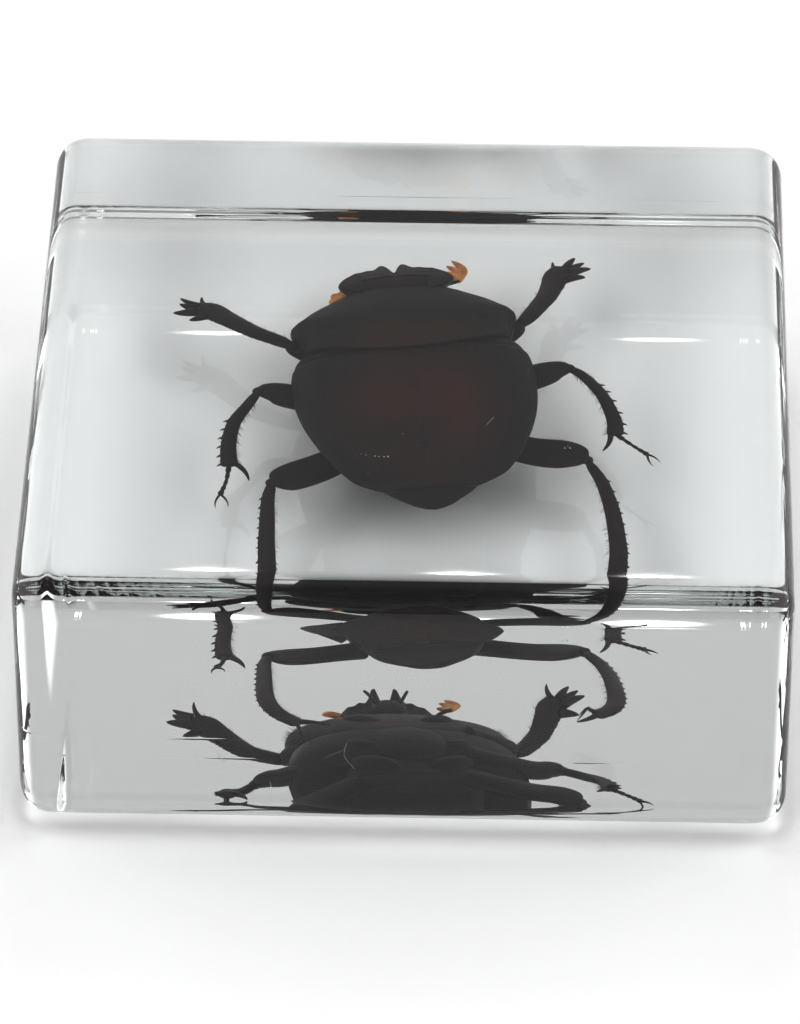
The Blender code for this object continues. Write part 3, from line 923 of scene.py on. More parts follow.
@dataclass
class Underbody:
    """What lies under the wing cases: thorax, abdomen with grooves between its plates, and tail.

    A hip is s and w of its middle, and its half length.
    """

    finish: Chitin
    plates: tuple[float, ...] = (-2.4, -3.9, -5.2, -6.4, -7.5, -8.5)
    groove: float = 0.09
    groove_width: float = 0.07
    inset: float = 0.16
    sinking: float = 0.45
    tail_tip: Point = (-10.75, 0.0, -0.08)
    breast: tuple[Point, Point] = ((0.6, 0.0, -2.0), (2.3, 2.5, 0.75))
    hip_height: float = -1.75
    hips: Rows = ((4.4, 1.9, 1.3), (0.4, 2.5, 1.2), (-2.3, 2.0, 1.5))

    def core(self, skin: Skin) -> None:
        """The body loft drawn in under the wing cases, its underside full size.

        Args:
            skin: the skin that it is added to.
        """
        angle = circle(96)[None, :]
        s, w, h, half = HIND_SHAPE.ring(np.linspace(0.0, 1.0, 90)[:, None], angle)
        upper = np.clip(np.sin(angle) * 4, 0, 1)
        w = w * (1 - self.inset / half * (0.25 + 0.75 * upper))
        h = h - self.sinking * upper * np.abs(np.sin(angle))
        skin.loft(AXES.place(s, w, h))

    def belly(self, skin: Skin) -> None:
        """The belly and tail loft, with a bell-shaped groove round it between plates.

        Args:
            skin: the skin that it is added to.
        """
        share = np.linspace(0.0, 1.0, 150)[:, None]
        angle = circle(96)[None, :]
        s, w, h, half = TAIL_SHAPE.ring(share, angle)
        middle = rows_along(TAIL_SHAPE.rows, share[:, 0])[:, 5:]
        curve = 0.5 * np.cos(angle) ** 2
        cut = sum(bell(s - curve, place, self.groove_width) for place in self.plates) * self.groove
        scale = 1 - cut / np.maximum(half, 0.6)
        rings = AXES.place(s, w * scale, middle + (h - middle) * (1 - cut * 0.55))
        skin.loft(rings, AXES.place(*self.tail_tip))

    def chest(self, skin: Skin) -> None:
        """The breast plate and the six hip joints, as smooth swellings on the underside.

        Args:
            skin: the skin that it is added to.
        """
        middle, radii = self.breast
        skin.blob(AXES.place(*middle), radii, AXES.turn, 40)
        for s, w, length in self.hips:
            for side in Side:
                joint = AXES.place(s, w * side.value, self.hip_height)
                skin.blob(joint, (length, 0.75, 0.72), AXES.turn + side.value * 0.5, 32)

    def build(self) -> None:
        """Makes the underbody."""
        skin = Skin()
        self.core(skin)
        self.belly(skin)
        self.chest(skin)
        show_shell("underbody", skin, self.finish.build())


@dataclass
class Pronotum:
    """The broad shield behind the head: domed, rimmed at its sides, with a pit on each flank."""

    finish: Chitin
    lengthwise: int = 130
    around: int = 180
    rim: Hump = Hump(0.07, 0.0, 0.09)
    moat: Hump = Hump(0.056, 0.2, 0.06)
    furrow: Hump = Hump(0.05, 0.0, 0.1)
    pit_place: Pair = (3.9, 4.1)
    pit_width: float = 0.32
    pit_depth: float = 0.16
    front_tip: Point = (8.5, 0.0, -0.1)

    def skin(self) -> Skin:
        """The fore body loft, with a bead along its side margin, a moat inside it, a furrow and two pits.

        Rim and moat stand at the sine of the angle round the section. The furrow runs down the middle and
        fades out towards the head.

        Returns:
            The closed skin.
        """
        angle = circle(self.around)[None, :]
        s, w, h, half = FORE_SHAPE.ring(np.linspace(0.0, 1.0, self.lengthwise)[:, None], angle)
        slope = np.sin(angle)
        moat = self.moat.at(slope)
        w = w * (1 + (self.rim.at(slope) - moat) / half * 0.6)
        along, aside = self.pit_place
        pits = sum(bell(w, aside * side.value, self.pit_width) for side in Side)
        pits = pits * bell(s, along, self.pit_width)
        furrow = self.furrow.at(w) * np.clip((4.6 - s) / 3.0, 0, 1)
        h = h - (pits * self.pit_depth + furrow + moat) * (slope > 0)
        skin = Skin()
        skin.loft(AXES.place(s, w, h), AXES.place(*self.front_tip))
        return skin

    def build(self) -> None:
        """Makes the pronotum."""
        show_shell("pronotum", self.skin(), self.finish.build())


@dataclass
class Head:
    """The shovel-shaped head: a thin plate bent down to a toothed front edge, with eyes and mouthparts.

    Each row of the edge is w and s of a point on its right half. Eyes, palp and chin are places in s, w, h,
    and the eyes and the chin have three half sizes as well.
    """

    finish: Chitin
    edge: Rows = (
        (0.0, 9.7),
        (0.1, 9.85),
        (0.28, 10.5),
        (0.5, 11.05),
        (0.7, 11.0),
        (0.9, 10.55),
        (1.1, 10.3),
        (1.45, 10.32),
        (1.75, 10.12),
        (2.1, 10.06),
        (2.45, 9.7),
        (2.8, 9.35),
        (3.1, 8.85),
    )
    back: float = 7.6
    rim: float = 0.14
    depth: float = 0.8
    lift: float = 0.44
    drop: float = 0.155
    ridge_height: float = 0.1
    ridge_reach: float = 1.9
    cheek_groove: float = 0.07
    turned_up: Hump = Hump(0.09, 0.985, 0.02)
    eyes: tuple[tuple[Point, Point], ...] = (
        ((8.35, 2.35, 0.42), (0.42, 0.5, 0.32)),
        ((8.35, 2.3, -0.35), (0.42, 0.48, 0.3)),
    )
    palp: Rows = ((8.9, 0.5, -1.1), (9.3, 0.8, -1.5), (9.8, 1.05, -1.72), (10.2, 1.2, -1.75))
    palp_thickness: float = 0.22
    chin: tuple[Point, Point] = ((8.9, 0.0, -1.05), (0.95, 1.1, 0.42))
    slices: int = 181
    chord: int = 60

    def level(self, s: Array | float) -> Array | float:
        """The middle surface's height: lift - drop * (s - back)^2."""
        return self.lift - self.drop * (s - self.back) ** 2

    def plate(self, skin: Skin) -> None:
        """Slices across the width, each a lens from neck to front edge.

        The upper side has a low cross ridge, a groove along each cheek and a front edge that turns up.

        Args:
            skin: the skin that it is added to.
        """
        widest = self.edge[-1][0]
        w = np.linspace(-widest, widest, self.slices)
        known = np.array(self.edge)
        front = np.interp(np.abs(w), known[:, 0], known[:, 1])
        front = np.convolve(np.pad(front, 1, mode="edge"), [0.2, 0.6, 0.2], "valid")
        depth = self.depth * np.sqrt(1 - (w / (widest * 1.06)) ** 2)
        back = self.back + 0.85 * (np.abs(w) / widest) ** 4
        along = np.sin(np.linspace(0, math.pi / 2, self.chord))
        s = back[:, None] + (front - back)[:, None] * along
        thick = self.rim + depth[:, None] * (1 - along**2)
        wide = np.broadcast_to(w[:, None], s.shape)
        aside = np.abs(wide)
        ridge = self.ridge_height * bell(s, 9.15 - 0.06 * wide**2, 0.12) * (aside < self.ridge_reach)
        cheek = self.cheek_groove * bell(aside, 1.75 + 0.3 * (s - 8.5), 0.07) * (along < 0.97)
        over = self.level(s) + thick * 0.6 + ridge - cheek + self.turned_up.at(along)
        below = self.level(s) - thick
        corner = self.edge[-1][1] - 0.25
        reach = widest + 0.08
        ends = [AXES.place(corner, side.value * reach, self.level(corner)) for side in Side]
        rings = AXES.place(out_and_back(s, s), out_and_back(wide, wide), out_and_back(over, below))
        skin.tube(rings, *ends)

    def mouth(self, skin: Skin) -> None:
        """Each eye's upper and lower half, a jointed palp on either side, and the chin plate.

        Args:
            skin: the skin that it is added to.
        """
        for side in Side:
            for (s, w, h), radii in self.eyes:
                skin.blob(AXES.place(s, w * side.value, h), radii, AXES.turn, 24)
            size = (self.palp_thickness, self.palp_thickness)
            rows = [(*AXES.place(s, w * side.value, h), *size) for s, w, h in self.palp]
            skin.tube(*limb(rows, 24, 10, relief=segmented(4, 0.3), ends=(0.0, 0.2)))
        middle, radii = self.chin
        skin.blob(AXES.place(*middle), radii, AXES.turn, 28)

    def build(self) -> None:
        """Makes the head."""
        skin = Skin()
        self.plate(skin)
        self.mouth(skin)
        show_shell("head", skin, self.finish.build())


def segmented(count: int, waist: float) -> Callable[[Array, Array], Array]:
    """A limb's relief as segments: each widens from a waist, 1 - waist, to full width before the next.

    Args:
        count: how many segments.
        waist: how far each narrows.

    Returns:
        The relief as a function of share and angle.
    """

    def relief(share: Array, angle: Array) -> Array:
        """The radius factor at a share of the length.

        Args:
            share: the share of the length.
            angle: the angle round the limb.

        Returns:
            The factor.
        """
        within = (share * count * 0.9999) % 1.0
        widened = 1 - waist * (1 - within) ** 1.5
        closing = waist * 1.2 * np.clip(within - 0.88, 0, 1) / 0.12
        return widened - closing + 0 * angle

    return relief


def toothed(count: int, depth: float, side: int, start: float = 0.1) -> Callable[[Array, Array], Array]:
    """A limb's relief with a saw edge: on one side the radius grows by a ramp that ends at each tooth.

    Args:
        count: how many teeth.
        depth: their depth as a share of the radius.
        side: 1 or -1, the edge that has them.
        start: the share of the length where they begin.

    Returns:
        The relief as a function of share and angle.
    """

    def relief(share: Array, angle: Array) -> Array:
        """The radius factor at a share and angle, with two lengthwise keels.

        Args:
            share: the share of the length.
            angle: the angle round the limb.

        Returns:
            The factor.
        """
        outer = np.clip(np.cos(angle) * side, 0, 1) ** 6
        ramp = ((share * count) % 1.0) ** 1.3
        keels = 0.05 * np.cos(angle * 4)
        return 1 + depth * outer * ramp * (share > start) + keels * np.sin(math.pi * share)

    return relief


@dataclass
class Comb:
    """The spines down a shin's outer edge: how many, from which share of its length, how long, where."""

    count: int
    start: float
    length: float
    side: int


# Hairs on a shin: their edge (1 is the comb's, -1 the other), number, length, and the share they start at.
SHIN_HAIRS = ((-1, 70, 0.42, 0.12), (1, 34, 0.26, 0.2))


@dataclass
class Leg:
    """One leg: thigh, shin with its edge of teeth, spurs, and a jointed foot with claws if it has one."""

    femur: Rows
    tibia: Rows
    comb: Comb
    teeth: tuple[tuple[Point, Point, float], ...] = ()
    spurs: tuple[tuple[Point, Point, float], ...] = ()
    tarsus: Rows = ()
    claws: tuple[Point, ...] = ()
    roll: float = 0.0
    fine_teeth: int = 24
    tooth_depth: float = 0.12
    comb_radius: float = 0.1
    claw_radius: float = 0.08
    hair_radius: float = 0.014

    def shin_edge(self, share: Array, side: int, outward: float) -> tuple[Array, Array, Array]:
        """Points along one edge of the shin: path + across * side * breadth * outward.

        Args:
            share: where along the shin.
            side: 1 or -1.
            outward: how far out, in breadths.

        Returns:
            The points, the outward direction and the direction ahead.
        """
        table = rows_along(self.tibia, share)
        before, after = (rows_along(self.tibia, np.clip(share + step, 0, 1)) for step in (-0.01, 0.01))
        ahead = unit((after - before)[:, :3])
        across = unit(np.cross(UP, ahead))
        tip = math.radians(self.roll)
        out = (across * math.cos(tip) + np.cross(ahead, across) * math.sin(tip)) * side
        return table[:, :3] + out * table[:, 3:4] * outward, out, ahead

    def flesh(self, skin: Skin) -> None:
        """Thigh and shin, and the knee between them.

        Args:
            skin: the skin that it is added to.
        """
        ridged = toothed(self.fine_teeth, self.tooth_depth, self.comb.side)
        skin.tube(*limb(self.femur, 56, 32, ends=(0.0, 0.22)))
        skin.tube(*limb(self.tibia, 160, 28, self.roll, ridged, (0.08, 0.035)))
        skin.blob(np.array(self.tibia[0][:3]), (0.34, 0.34, 0.3), 0.0, 18)

    def armour(self, skin: Skin) -> None:
        """The comb, the large teeth of a digging leg, and the spurs.

        Args:
            skin: the skin that it is added to.
        """
        share = np.linspace(self.comb.start, 0.95, self.comb.count)
        root, out, ahead = self.shin_edge(share, self.comb.side, 0.36)
        edge, _, _ = self.shin_edge(share, self.comb.side, 0.5)
        tips = edge + out * self.comb.length + ahead * self.comb.length * 0.8
        bend = out * self.comb.length * 0.2
        skin.tubes(*spines(root, tips, np.full(len(share), self.comb_radius), bend, 7, 10))
        for group, bow in ((self.teeth, 0.05), (self.spurs, 0.1)):
            if group:
                roots, ends, radii = (np.array(part) for part in zip(*group))
                lean = np.cross(UP, ends - roots) * bow
                skin.tubes(*spines(roots, ends, radii, lean, 16, 16, 0.55))

    def foot(self, skin: Skin) -> None:
        """Five small joints, each wider at its end, and two curved claws.

        Args:
            skin: the skin that it is added to.
        """
        if not self.tarsus:
            return
        skin.tube(*limb(self.tarsus, 90, 14, relief=segmented(5, 0.42), ends=(0.02, 0.04)))
        root = np.array([self.tarsus[-1][:3]] * len(self.claws))
        tips = np.array(self.claws)
        apart = tips - tips.mean(axis=0)
        skin.tubes(*spines(root, tips, np.full(len(tips), self.claw_radius), apart * 0.45, 10, 10))

    def hairs(self, rng: np.random.Generator) -> tuple[Array, Array, Array]:
        """The fringe on the shin's inner edge, and shorter hairs between the spines of the comb.

        Args:
            rng: the seeded generator.

        Returns:
            Roots, tips and radii.
        """
        roots, tips, radii = [], [], []
        for edge, count, length, start in SHIN_HAIRS:
            share = np.sort(rng.uniform(start, 0.97, count))
            root, out, ahead = self.shin_edge(share, edge * self.comb.side, 0.44)
            size = length * rng.uniform(0.5, 1.15, (count, 1))
            lean = rng.normal(0, 0.25, (count, 3))
            roots.append(root)
            tips.append(root + (out * 0.75 + ahead * 0.7 + lean * 0.5) * size)
            radii.append(np.full(count, self.hair_radius))
        return np.concatenate(roots), np.concatenate(tips), np.concatenate(radii)

    def skin(self) -> Skin:
        """The whole leg, without its hairs.

        Returns:
            Its closed skin.
        """
        skin = Skin()
        self.flesh(skin)
        self.armour(skin)
        self.foot(skin)
        return skin


LEGS: dict[str, Leg] = {
    "fore_leg_left": Leg(
        femur=((-3.4, 5.1, 4.6, 1.7, 1.3), (-5.4, 5.45, 5.5, 1.6, 1.2), (-6.9, 5.95, 6.25, 1.1, 0.9)),
        tibia=(
            (-6.6, 5.6, 6.4, 0.6, 0.6),
            (-7.2, 6.05, 6.41, 0.95, 0.62),
            (-8.6, 6.86, 6.35, 1.1, 0.62),
            (-9.6, 7.73, 6.04, 1.25, 0.6),
            (-10.3, 8.4, 5.75, 1.4, 0.55),
            (-11.12, 9.15, 5.45, 1.65, 0.5),
            (-11.85, 9.45, 5.3, 1.3, 0.42),
        ),
        comb=Comb(5, 0.3, 0.14, 1),
        teeth=(
            ((-11.3, 8.7, 5.65), (-12.24, 8.1, 5.8), 0.34),
            ((-11.95, 9.15, 5.35), (-13.16, 9.05, 5.22), 0.36),
            ((-12.0, 9.5, 5.25), (-12.85, 9.92, 5.1), 0.3),
            ((-11.8, 9.75, 5.15), (-12.85, 10.5, 4.97), 0.26),
        ),
        spurs=(((-11.35, 9.7, 5.15), (-11.67, 10.87, 4.54), 0.18),),
        roll=17.0,
    ),
    "fore_leg_right": Leg(
        femur=((3.1, 6.1, 4.6, 1.7, 1.3), (4.7, 7.1, 5.6, 1.6, 1.2), (5.85, 8.05, 6.4, 1.2, 0.9)),
        tibia=(
            (5.6, 7.6, 6.5, 0.6, 0.6),
            (6.15, 8.35, 6.58, 0.95, 0.62),
            (6.68, 9.4, 6.45, 1.05, 0.62),
            (7.15, 10.46, 6.22, 1.15, 0.6),
            (7.45, 11.65, 5.79, 1.3, 0.55),
            (7.72, 12.83, 5.42, 1.5, 0.5),
            (8.2, 13.6, 5.15, 1.3, 0.42),
        ),
        comb=Comb(5, 0.3, 0.14, -1),
        teeth=(
            ((8.2, 12.4, 5.6), (9.27, 12.49, 5.74), 0.36),
            ((8.4, 13.1, 5.25), (9.57, 13.71, 4.92), 0.36),
            ((8.5, 13.5, 5.1), (9.2, 14.28, 4.8), 0.28),
            ((8.2, 13.6, 5.05), (8.69, 14.77, 4.72), 0.3),
        ),
        spurs=(((7.75, 13.4, 4.95), (7.48, 14.52, 4.46), 0.18),),
        roll=-17.0,
    ),
    "middle_leg_left": Leg(
        femur=(
            (-3.2, 1.4, 4.4, 1.7, 1.3),
            (-6.38, 1.63, 5.72, 1.95, 1.1),
            (-7.5, 1.85, 6.05, 1.5, 0.95),
            (-8.4, 1.65, 6.42, 0.7, 0.6),
        ),
        tibia=(
            (-8.2, 1.7, 6.4, 0.5, 0.5),
            (-8.84, 0.33, 6.3, 0.62, 0.5),
            (-9.34, -0.6, 6.0, 0.7, 0.5),
            (-9.58, -1.6, 5.55, 0.75, 0.5),
            (-9.63, -2.7, 5.1, 0.82, 0.52),
            (-9.5, -3.85, 4.75, 0.95, 0.5),
        ),
        comb=Comb(6, 0.42, 0.26, -1),
        spurs=(((-9.2, -3.6, 4.75), (-8.45, -4.91, 4.58), 0.18),),
        tarsus=(
            (-9.55, -3.75, 4.8, 0.38, 0.32),
            (-9.65, -5.2, 5.0, 0.24, 0.24),
            (-9.9, -6.4, 5.25, 0.36, 0.3),
        ),
        claws=((-10.07, -7.67, 5.34), (-9.44, -7.64, 5.45)),
    ),
    "middle_leg_right": Leg(
        femur=(
            (3.3, 2.6, 4.5, 1.7, 1.3),
            (6.58, 3.6, 5.85, 1.95, 1.1),
            (7.8, 4.15, 6.05, 1.4, 0.95),
            (8.6, 4.15, 6.18, 0.7, 0.6),
        ),
        tibia=(
            (8.4, 4.2, 6.18, 0.5, 0.5),
            (9.05, 3.71, 6.15, 0.56, 0.5),
            (9.73, 2.84, 6.0, 0.62, 0.5),
            (10.29, 1.89, 5.75, 0.66, 0.5),
            (10.82, 0.3, 5.38, 0.78, 0.52),
            (10.9, -0.95, 5.12, 0.92, 0.5),
        ),
        comb=Comb(6, 0.42, 0.26, 1),
        spurs=(((10.65, -0.75, 5.1), (10.2, -2.11, 4.82), 0.18),),
        tarsus=(
            (10.95, -0.85, 5.15, 0.38, 0.32),
            (11.9, -1.85, 5.2, 0.24, 0.24),
            (12.6, -2.55, 5.28, 0.36, 0.3),
        ),
        claws=((13.3, -3.25, 5.28), (12.95, -3.62, 5.36)),
    ),
    "hind_leg_left": Leg(
        femur=(
            (-2.5, -1.9, 4.6, 1.6, 1.0),
            (-4.57, -3.85, 5.1, 2.2, 0.64),
            (-6.25, -5.0, 5.38, 2.2, 0.64),
            (-7.15, -5.75, 5.62, 1.45, 0.55),
        ),
        tibia=(
            (-7.22, -5.6, 5.66, 0.55, 0.5),
            (-7.35, -7.0, 5.7, 0.68, 0.5),
            (-7.32, -9.0, 5.75, 0.78, 0.5),
            (-7.27, -11.0, 5.7, 0.85, 0.52),
            (-7.05, -12.7, 5.55, 0.92, 0.55),
            (-6.45, -14.0, 5.35, 0.95, 0.55),
            (-5.4, -14.9, 5.1, 0.95, 0.5),
        ),
        comb=Comb(13, 0.16, 0.16, -1),
        spurs=(((-5.5, -14.75, 5.15), (-3.72, -15.1, 5.1), 0.18),),
        tarsus=(
            (-5.55, -14.75, 5.1, 0.34, 0.3),
            (-5.35, -15.05, 4.7, 0.3, 0.28),
            (-5.25, -15.25, 4.35, 0.28, 0.26),
        ),
        claws=((-5.4, -15.6, 3.8), (-4.8, -15.5, 3.92)),
        fine_teeth=32,
    ),
    "hind_leg_right": Leg(
        femur=(
            (3.1, -0.7, 4.55, 1.6, 1.0),
            (6.35, -2.15, 4.84, 2.25, 0.64),
            (8.3, -2.55, 4.98, 2.3, 0.64),
            (9.35, -3.2, 5.22, 1.45, 0.55),
        ),
        tibia=(
            (9.4, -3.1, 5.26, 0.55, 0.5),
            (10.2, -5.0, 5.3, 0.68, 0.5),
            (10.7, -7.2, 5.4, 0.78, 0.5),
            (10.97, -9.4, 5.45, 0.85, 0.52),
            (11.05, -11.2, 5.42, 0.92, 0.55),
            (10.75, -12.6, 5.4, 1.0, 0.55),
            (10.0, -13.4, 5.35, 1.0, 0.5),
        ),
        comb=Comb(13, 0.16, 0.16, 1),
        spurs=(((10.05, -13.25, 5.3), (8.98, -13.6, 4.95), 0.18),),
        tarsus=(
            (10.15, -13.2, 5.4, 0.34, 0.3),
            (9.8, -13.35, 5.65, 0.3, 0.28),
            (9.55, -13.4, 5.85, 0.28, 0.26),
        ),
        claws=((9.05, -13.65, 5.3), (9.0, -13.6, 5.0)),
        fine_teeth=32,
    ),
}


@dataclass
class Antenna:
    """One antenna: a jointed stalk that carries a club of three curved leaves."""

    stalk: Rows
    leaves: tuple[tuple[Point, Point], ...]
    breadth: float = 0.5
    thickness: float = 0.3
    tip: float = 0.5

    def stem(self) -> Skin:
        """The stalk, as a chain of small joints.

        Returns:
            Its closed skin.
        """
        skin = Skin()
        skin.tube(*limb(self.stalk, 60, 14, relief=segmented(6, 0.3)))
        return skin

    def club(self) -> Skin:
        """The leaves: each a flat oval tube from the stalk's end through its middle to its tip.

        Returns:
            Their closed skin.
        """
        skin = Skin()
        base = np.array(self.stalk[-1][:3])
        for middle, tip in self.leaves:
            start = base - (np.array(middle) - base) * 0.2
            rows = [
                (*start, self.breadth * 0.6, self.thickness * 0.8),
                (*middle, self.breadth, self.thickness),
                (*tip, self.breadth * self.tip, self.thickness * 0.7),
            ]
            skin.tube(*limb(rows, 36, 20, ends=(0.1, 0.3)))
        return skin


ANTENNAE: dict[str, Antenna] = {
    "left": Antenna(
        stalk=((-2.6, 10.2, 5.35, 0.4, 0.36), (-3.2, 10.1, 5.2, 0.32, 0.3), (-3.72, 10.14, 5.1, 0.3, 0.3)),
        leaves=(
            ((-4.2, 10.2, 5.02), (-4.66, 10.5, 5.08)),
            ((-4.15, 10.5, 5.16), (-4.52, 10.95, 5.18)),
            ((-3.9, 10.62, 5.3), (-4.1, 11.12, 5.3)),
        ),
        breadth=0.72,
        tip=0.85,
    ),
    "right": Antenna(
        stalk=((0.8, 10.9, 6.2, 0.4, 0.36), (1.75, 11.8, 5.52, 0.32, 0.3), (2.35, 12.17, 5.4, 0.3, 0.3)),
        leaves=(
            ((2.55, 13.1, 5.48), (1.9, 13.95, 5.5)),
            ((2.23, 12.9, 5.5), (1.63, 13.45, 5.5)),
            ((1.98, 12.55, 5.55), (1.5, 12.85, 5.6)),
        ),
    ),
}


@dataclass
class Limbs:
    """The six legs, the two antennae and all their hairs."""

    finish: Chitin
    club: ClubVelvet
    bristle: Mottled
    seed: int = 11
    body_hairs: int = 260
    body_hair_radius: float = 0.012

    def margin_hairs(self, rng: np.random.Generator) -> tuple[Array, Array, Array]:
        """Hairs below the pronotum's side margins.

        Args:
            rng: the seeded generator.

        Returns:
            Roots, tips and radii.
        """
        count = self.body_hairs
        share = rng.uniform(0.12, 0.8, (count, 1))
        side = rng.choice([-1.0, 1.0], (count, 1))
        angle = np.where(side > 0, 0.0, math.pi) - side * rng.uniform(0.05, 0.5, (count, 1))
        table = rows_along(FORE_SHAPE.rows, share[:, 0])
        w = table[:, 1:2] * power(np.cos(angle), FORE_SHAPE.fullness)
        h = -np.abs(np.sin(angle)) ** FORE_SHAPE.fullness * np.abs(table[:, 3:4])
        s = table[:, 0:1] + table[:, 4:5] * np.cos(angle) ** 2
        root = AXES.place(s, w, h)[:, 0]
        out = AXES.place(s + rng.normal(0, 0.1, s.shape), w + side * 0.3, h - 0.22)[:, 0] - root
        tips = root + out * rng.uniform(0.5, 1.1, (count, 1))
        return root, tips, np.full(count, self.body_hair_radius)

    def build(self) -> None:
        """Makes legs, antennae and hairs."""
        shell = self.finish.build()
        for name, leg in LEGS.items():
            show_shell(name, leg.skin(), shell)
        orange = self.club.build()
        for side, antenna in ANTENNAE.items():
            for part, skin, finish in (("stalk", antenna.stem(), shell), ("club", antenna.club(), orange)):
                show_shell(f"antenna_{part}_{side}", skin, finish)
        rng = np.random.default_rng(self.seed)
        skin = Skin()
        for roots, tips, radii in [leg.hairs(rng) for leg in LEGS.values()] + [self.margin_hairs(rng)]:
            bend = rng.normal(0, 0.02, roots.shape)
            skin.tubes(*spines(roots, tips, radii, bend, 5, 4))
        show_shell("hairs", skin, self.bristle.build())


# ---- The block ----


RESIN_SLOT = "clear_resin"


@dataclass
class ResinBlock:
    """The clear block: a square slab whose every edge is rounded, in one closed skin.

    The rounding is a superellipse, a little squarer than a circle, and the top sinks a little towards its
    front edge. Both are guesses, set so that the edges and the highlights there look right.
    """

    finish: ClearResin
    width: float = 40.0
    depth: float = 40.0
    height: float = 16.0
    radius: float = 2.0
    squareness: float = 2.5
    sag: float = 0.36
    sag_reach: float = 3.0
    edge_steps: int = 40
    flat_steps: int = 24

    def lines(self, size: float) -> tuple[Array, Array]:
        """Grid lines across one side: steps over each rounded edge, and wider ones over the flat between.

        Args:
            size: the side's length.

        Returns:
            For each line, the core coordinate and how far it leans out, from -1 to 1.
        """
        lean = np.linspace(-1.0, 0.0, self.edge_steps + 1)
        flat = size / 2 - self.radius
        between = np.linspace(-flat, flat, self.flat_steps + 1)[1:-1]
        core = np.concatenate([np.full(len(lean), -flat), between, np.full(len(lean), flat)])
        return core, np.concatenate([lean, 0.0 * between, -lean[::-1]])

    def knob(self, lean: Array) -> Array:
        """The rounding's shape: radius * d / |d|p, where |d|p is the p-th root of the sum of p-th powers.

        Args:
            lean: directions d, whose largest part is 1 or -1.

        Returns:
            The points, from the rounding's centre.
        """
        p = self.squareness
        size = (np.abs(lean) ** p).sum(axis=-1, keepdims=True) ** (1 / p)
        return lean / size * self.radius

    def face(self, axis: int, sign: int) -> tuple[Array, Array]:
        """One of six faces: core + knob(d), with d the vector (lean, lean, 1) on the face's axes.

        Its normal is the cross product of the knob's slopes along the two leans.

        Args:
            axis: the axis that the face looks along.
            sign: which way it looks.

        Returns:
            The points and their normals, shaped (rows, columns, 3).
        """
        sizes = (self.width, self.depth, self.height)
        one, two = [a for a in range(3) if a != axis]
        core_one, lean_one = self.lines(sizes[one])
        core_two, lean_two = self.lines(sizes[two])
        shape = (len(core_one), len(core_two))
        core = np.zeros((*shape, 3))
        lean = np.zeros((*shape, 3))
        core[..., one] = core_one[:, None]
        core[..., two] = core_two[None, :]
        core[..., axis] = sign * (sizes[axis] / 2 - self.radius)
        lean[..., one] = lean_one[:, None]
        lean[..., two] = lean_two[None, :]
        lean[..., axis] = sign
        step = 1e-4 * np.eye(3)
        slopes = [self.knob(lean + step[a]) - self.knob(lean - step[a]) for a in (one, two)]
        normal = np.cross(slopes[0], slopes[1])
        normal *= np.sign((normal * lean).sum(axis=-1, keepdims=True))
        return core + self.knob(lean), unit(normal)

    def sunk(self, place: Array, normal: Array) -> tuple[Array, Array]:
        """Sinks the top towards its front edge: z becomes z - sag * t^2 * w, with w = u^2 (3 - 2 u).

        t runs from 0 to 1 over the reach before the front face, and u from 0 at half the height to 1 at the
        top. The normal turns by the inverse transpose of the same map's slopes.

        Args:
            place: points, from the base's middle.
            normal: their normals.

        Returns:
            The points and normals after sinking.
        """
        t = np.clip(1 - (place[:, 1] + self.depth / 2) / self.sag_reach, 0, 1)
        u = np.clip(2 * place[:, 2] / self.height - 1, 0, 1)
        w = u**2 * (3 - 2 * u)
        slope_y = 2 * self.sag * t * w / self.sag_reach
        slope_z = 1 - self.sag * t**2 * 12 * u * (1 - u) / self.height
        sunk, turned = place.copy(), normal.copy()
        sunk[:, 2] -= self.sag * t**2 * w
        turned[:, 1] -= slope_y / slope_z * normal[:, 2]
        turned[:, 2] /= slope_z
        return sunk, unit(turned)

    def mesh(self) -> bpy.types.Mesh:
        """The six faces with their shared borders merged, and exact normals, so that the flats are flat.

        Returns:
            The mesh, in metres.
        """
        points, normals, quads = [], [], []
        count = 0
        for axis in range(3):
            for sign in (-1, 1):
                place, normal = self.face(axis, sign)
                rows, columns = place.shape[:2]
                index = count + np.arange(rows * columns).reshape(rows, columns)
                quad = np.stack([index[:-1, :-1], index[1:, :-1], index[1:, 1:], index[:-1, 1:]], axis=-1)
                outward = np.cross(place[1, 0] - place[0, 0], place[0, 1] - place[0, 0]) @ normal[0, 0]
                quads.append(quad.reshape(-1, 4) if outward > 0 else quad.reshape(-1, 4)[:, ::-1])
                points.append(place.reshape(-1, 3))
                normals.append(normal.reshape(-1, 3))
                count += rows * columns
        raised = np.concatenate(points) + (0.0, 0.0, self.height / 2)
        place, normal = self.sunk(raised, np.concatenate(normals))
        _, first, back = np.unique(np.round(place, 5), axis=0, return_index=True, return_inverse=True)
        faces = back.reshape(-1)[np.concatenate(quads)]
        mesh = bpy.data.meshes.new("resin_block")
        mesh.from_pydata(place[first] * MM, [], faces.tolist())
        mesh.update()
        mesh.shade_smooth()
        mesh.normals_split_custom_set_from_vertices(normal[first])
        return mesh

    def build(self) -> None:
        """Makes the block, which replaces its two packed halves."""
        halves = ("resin_block_lower", "resin_block_upper")
        show("resin_block", self.mesh(), self.finish.build(), RESIN_SLOT, *halves)


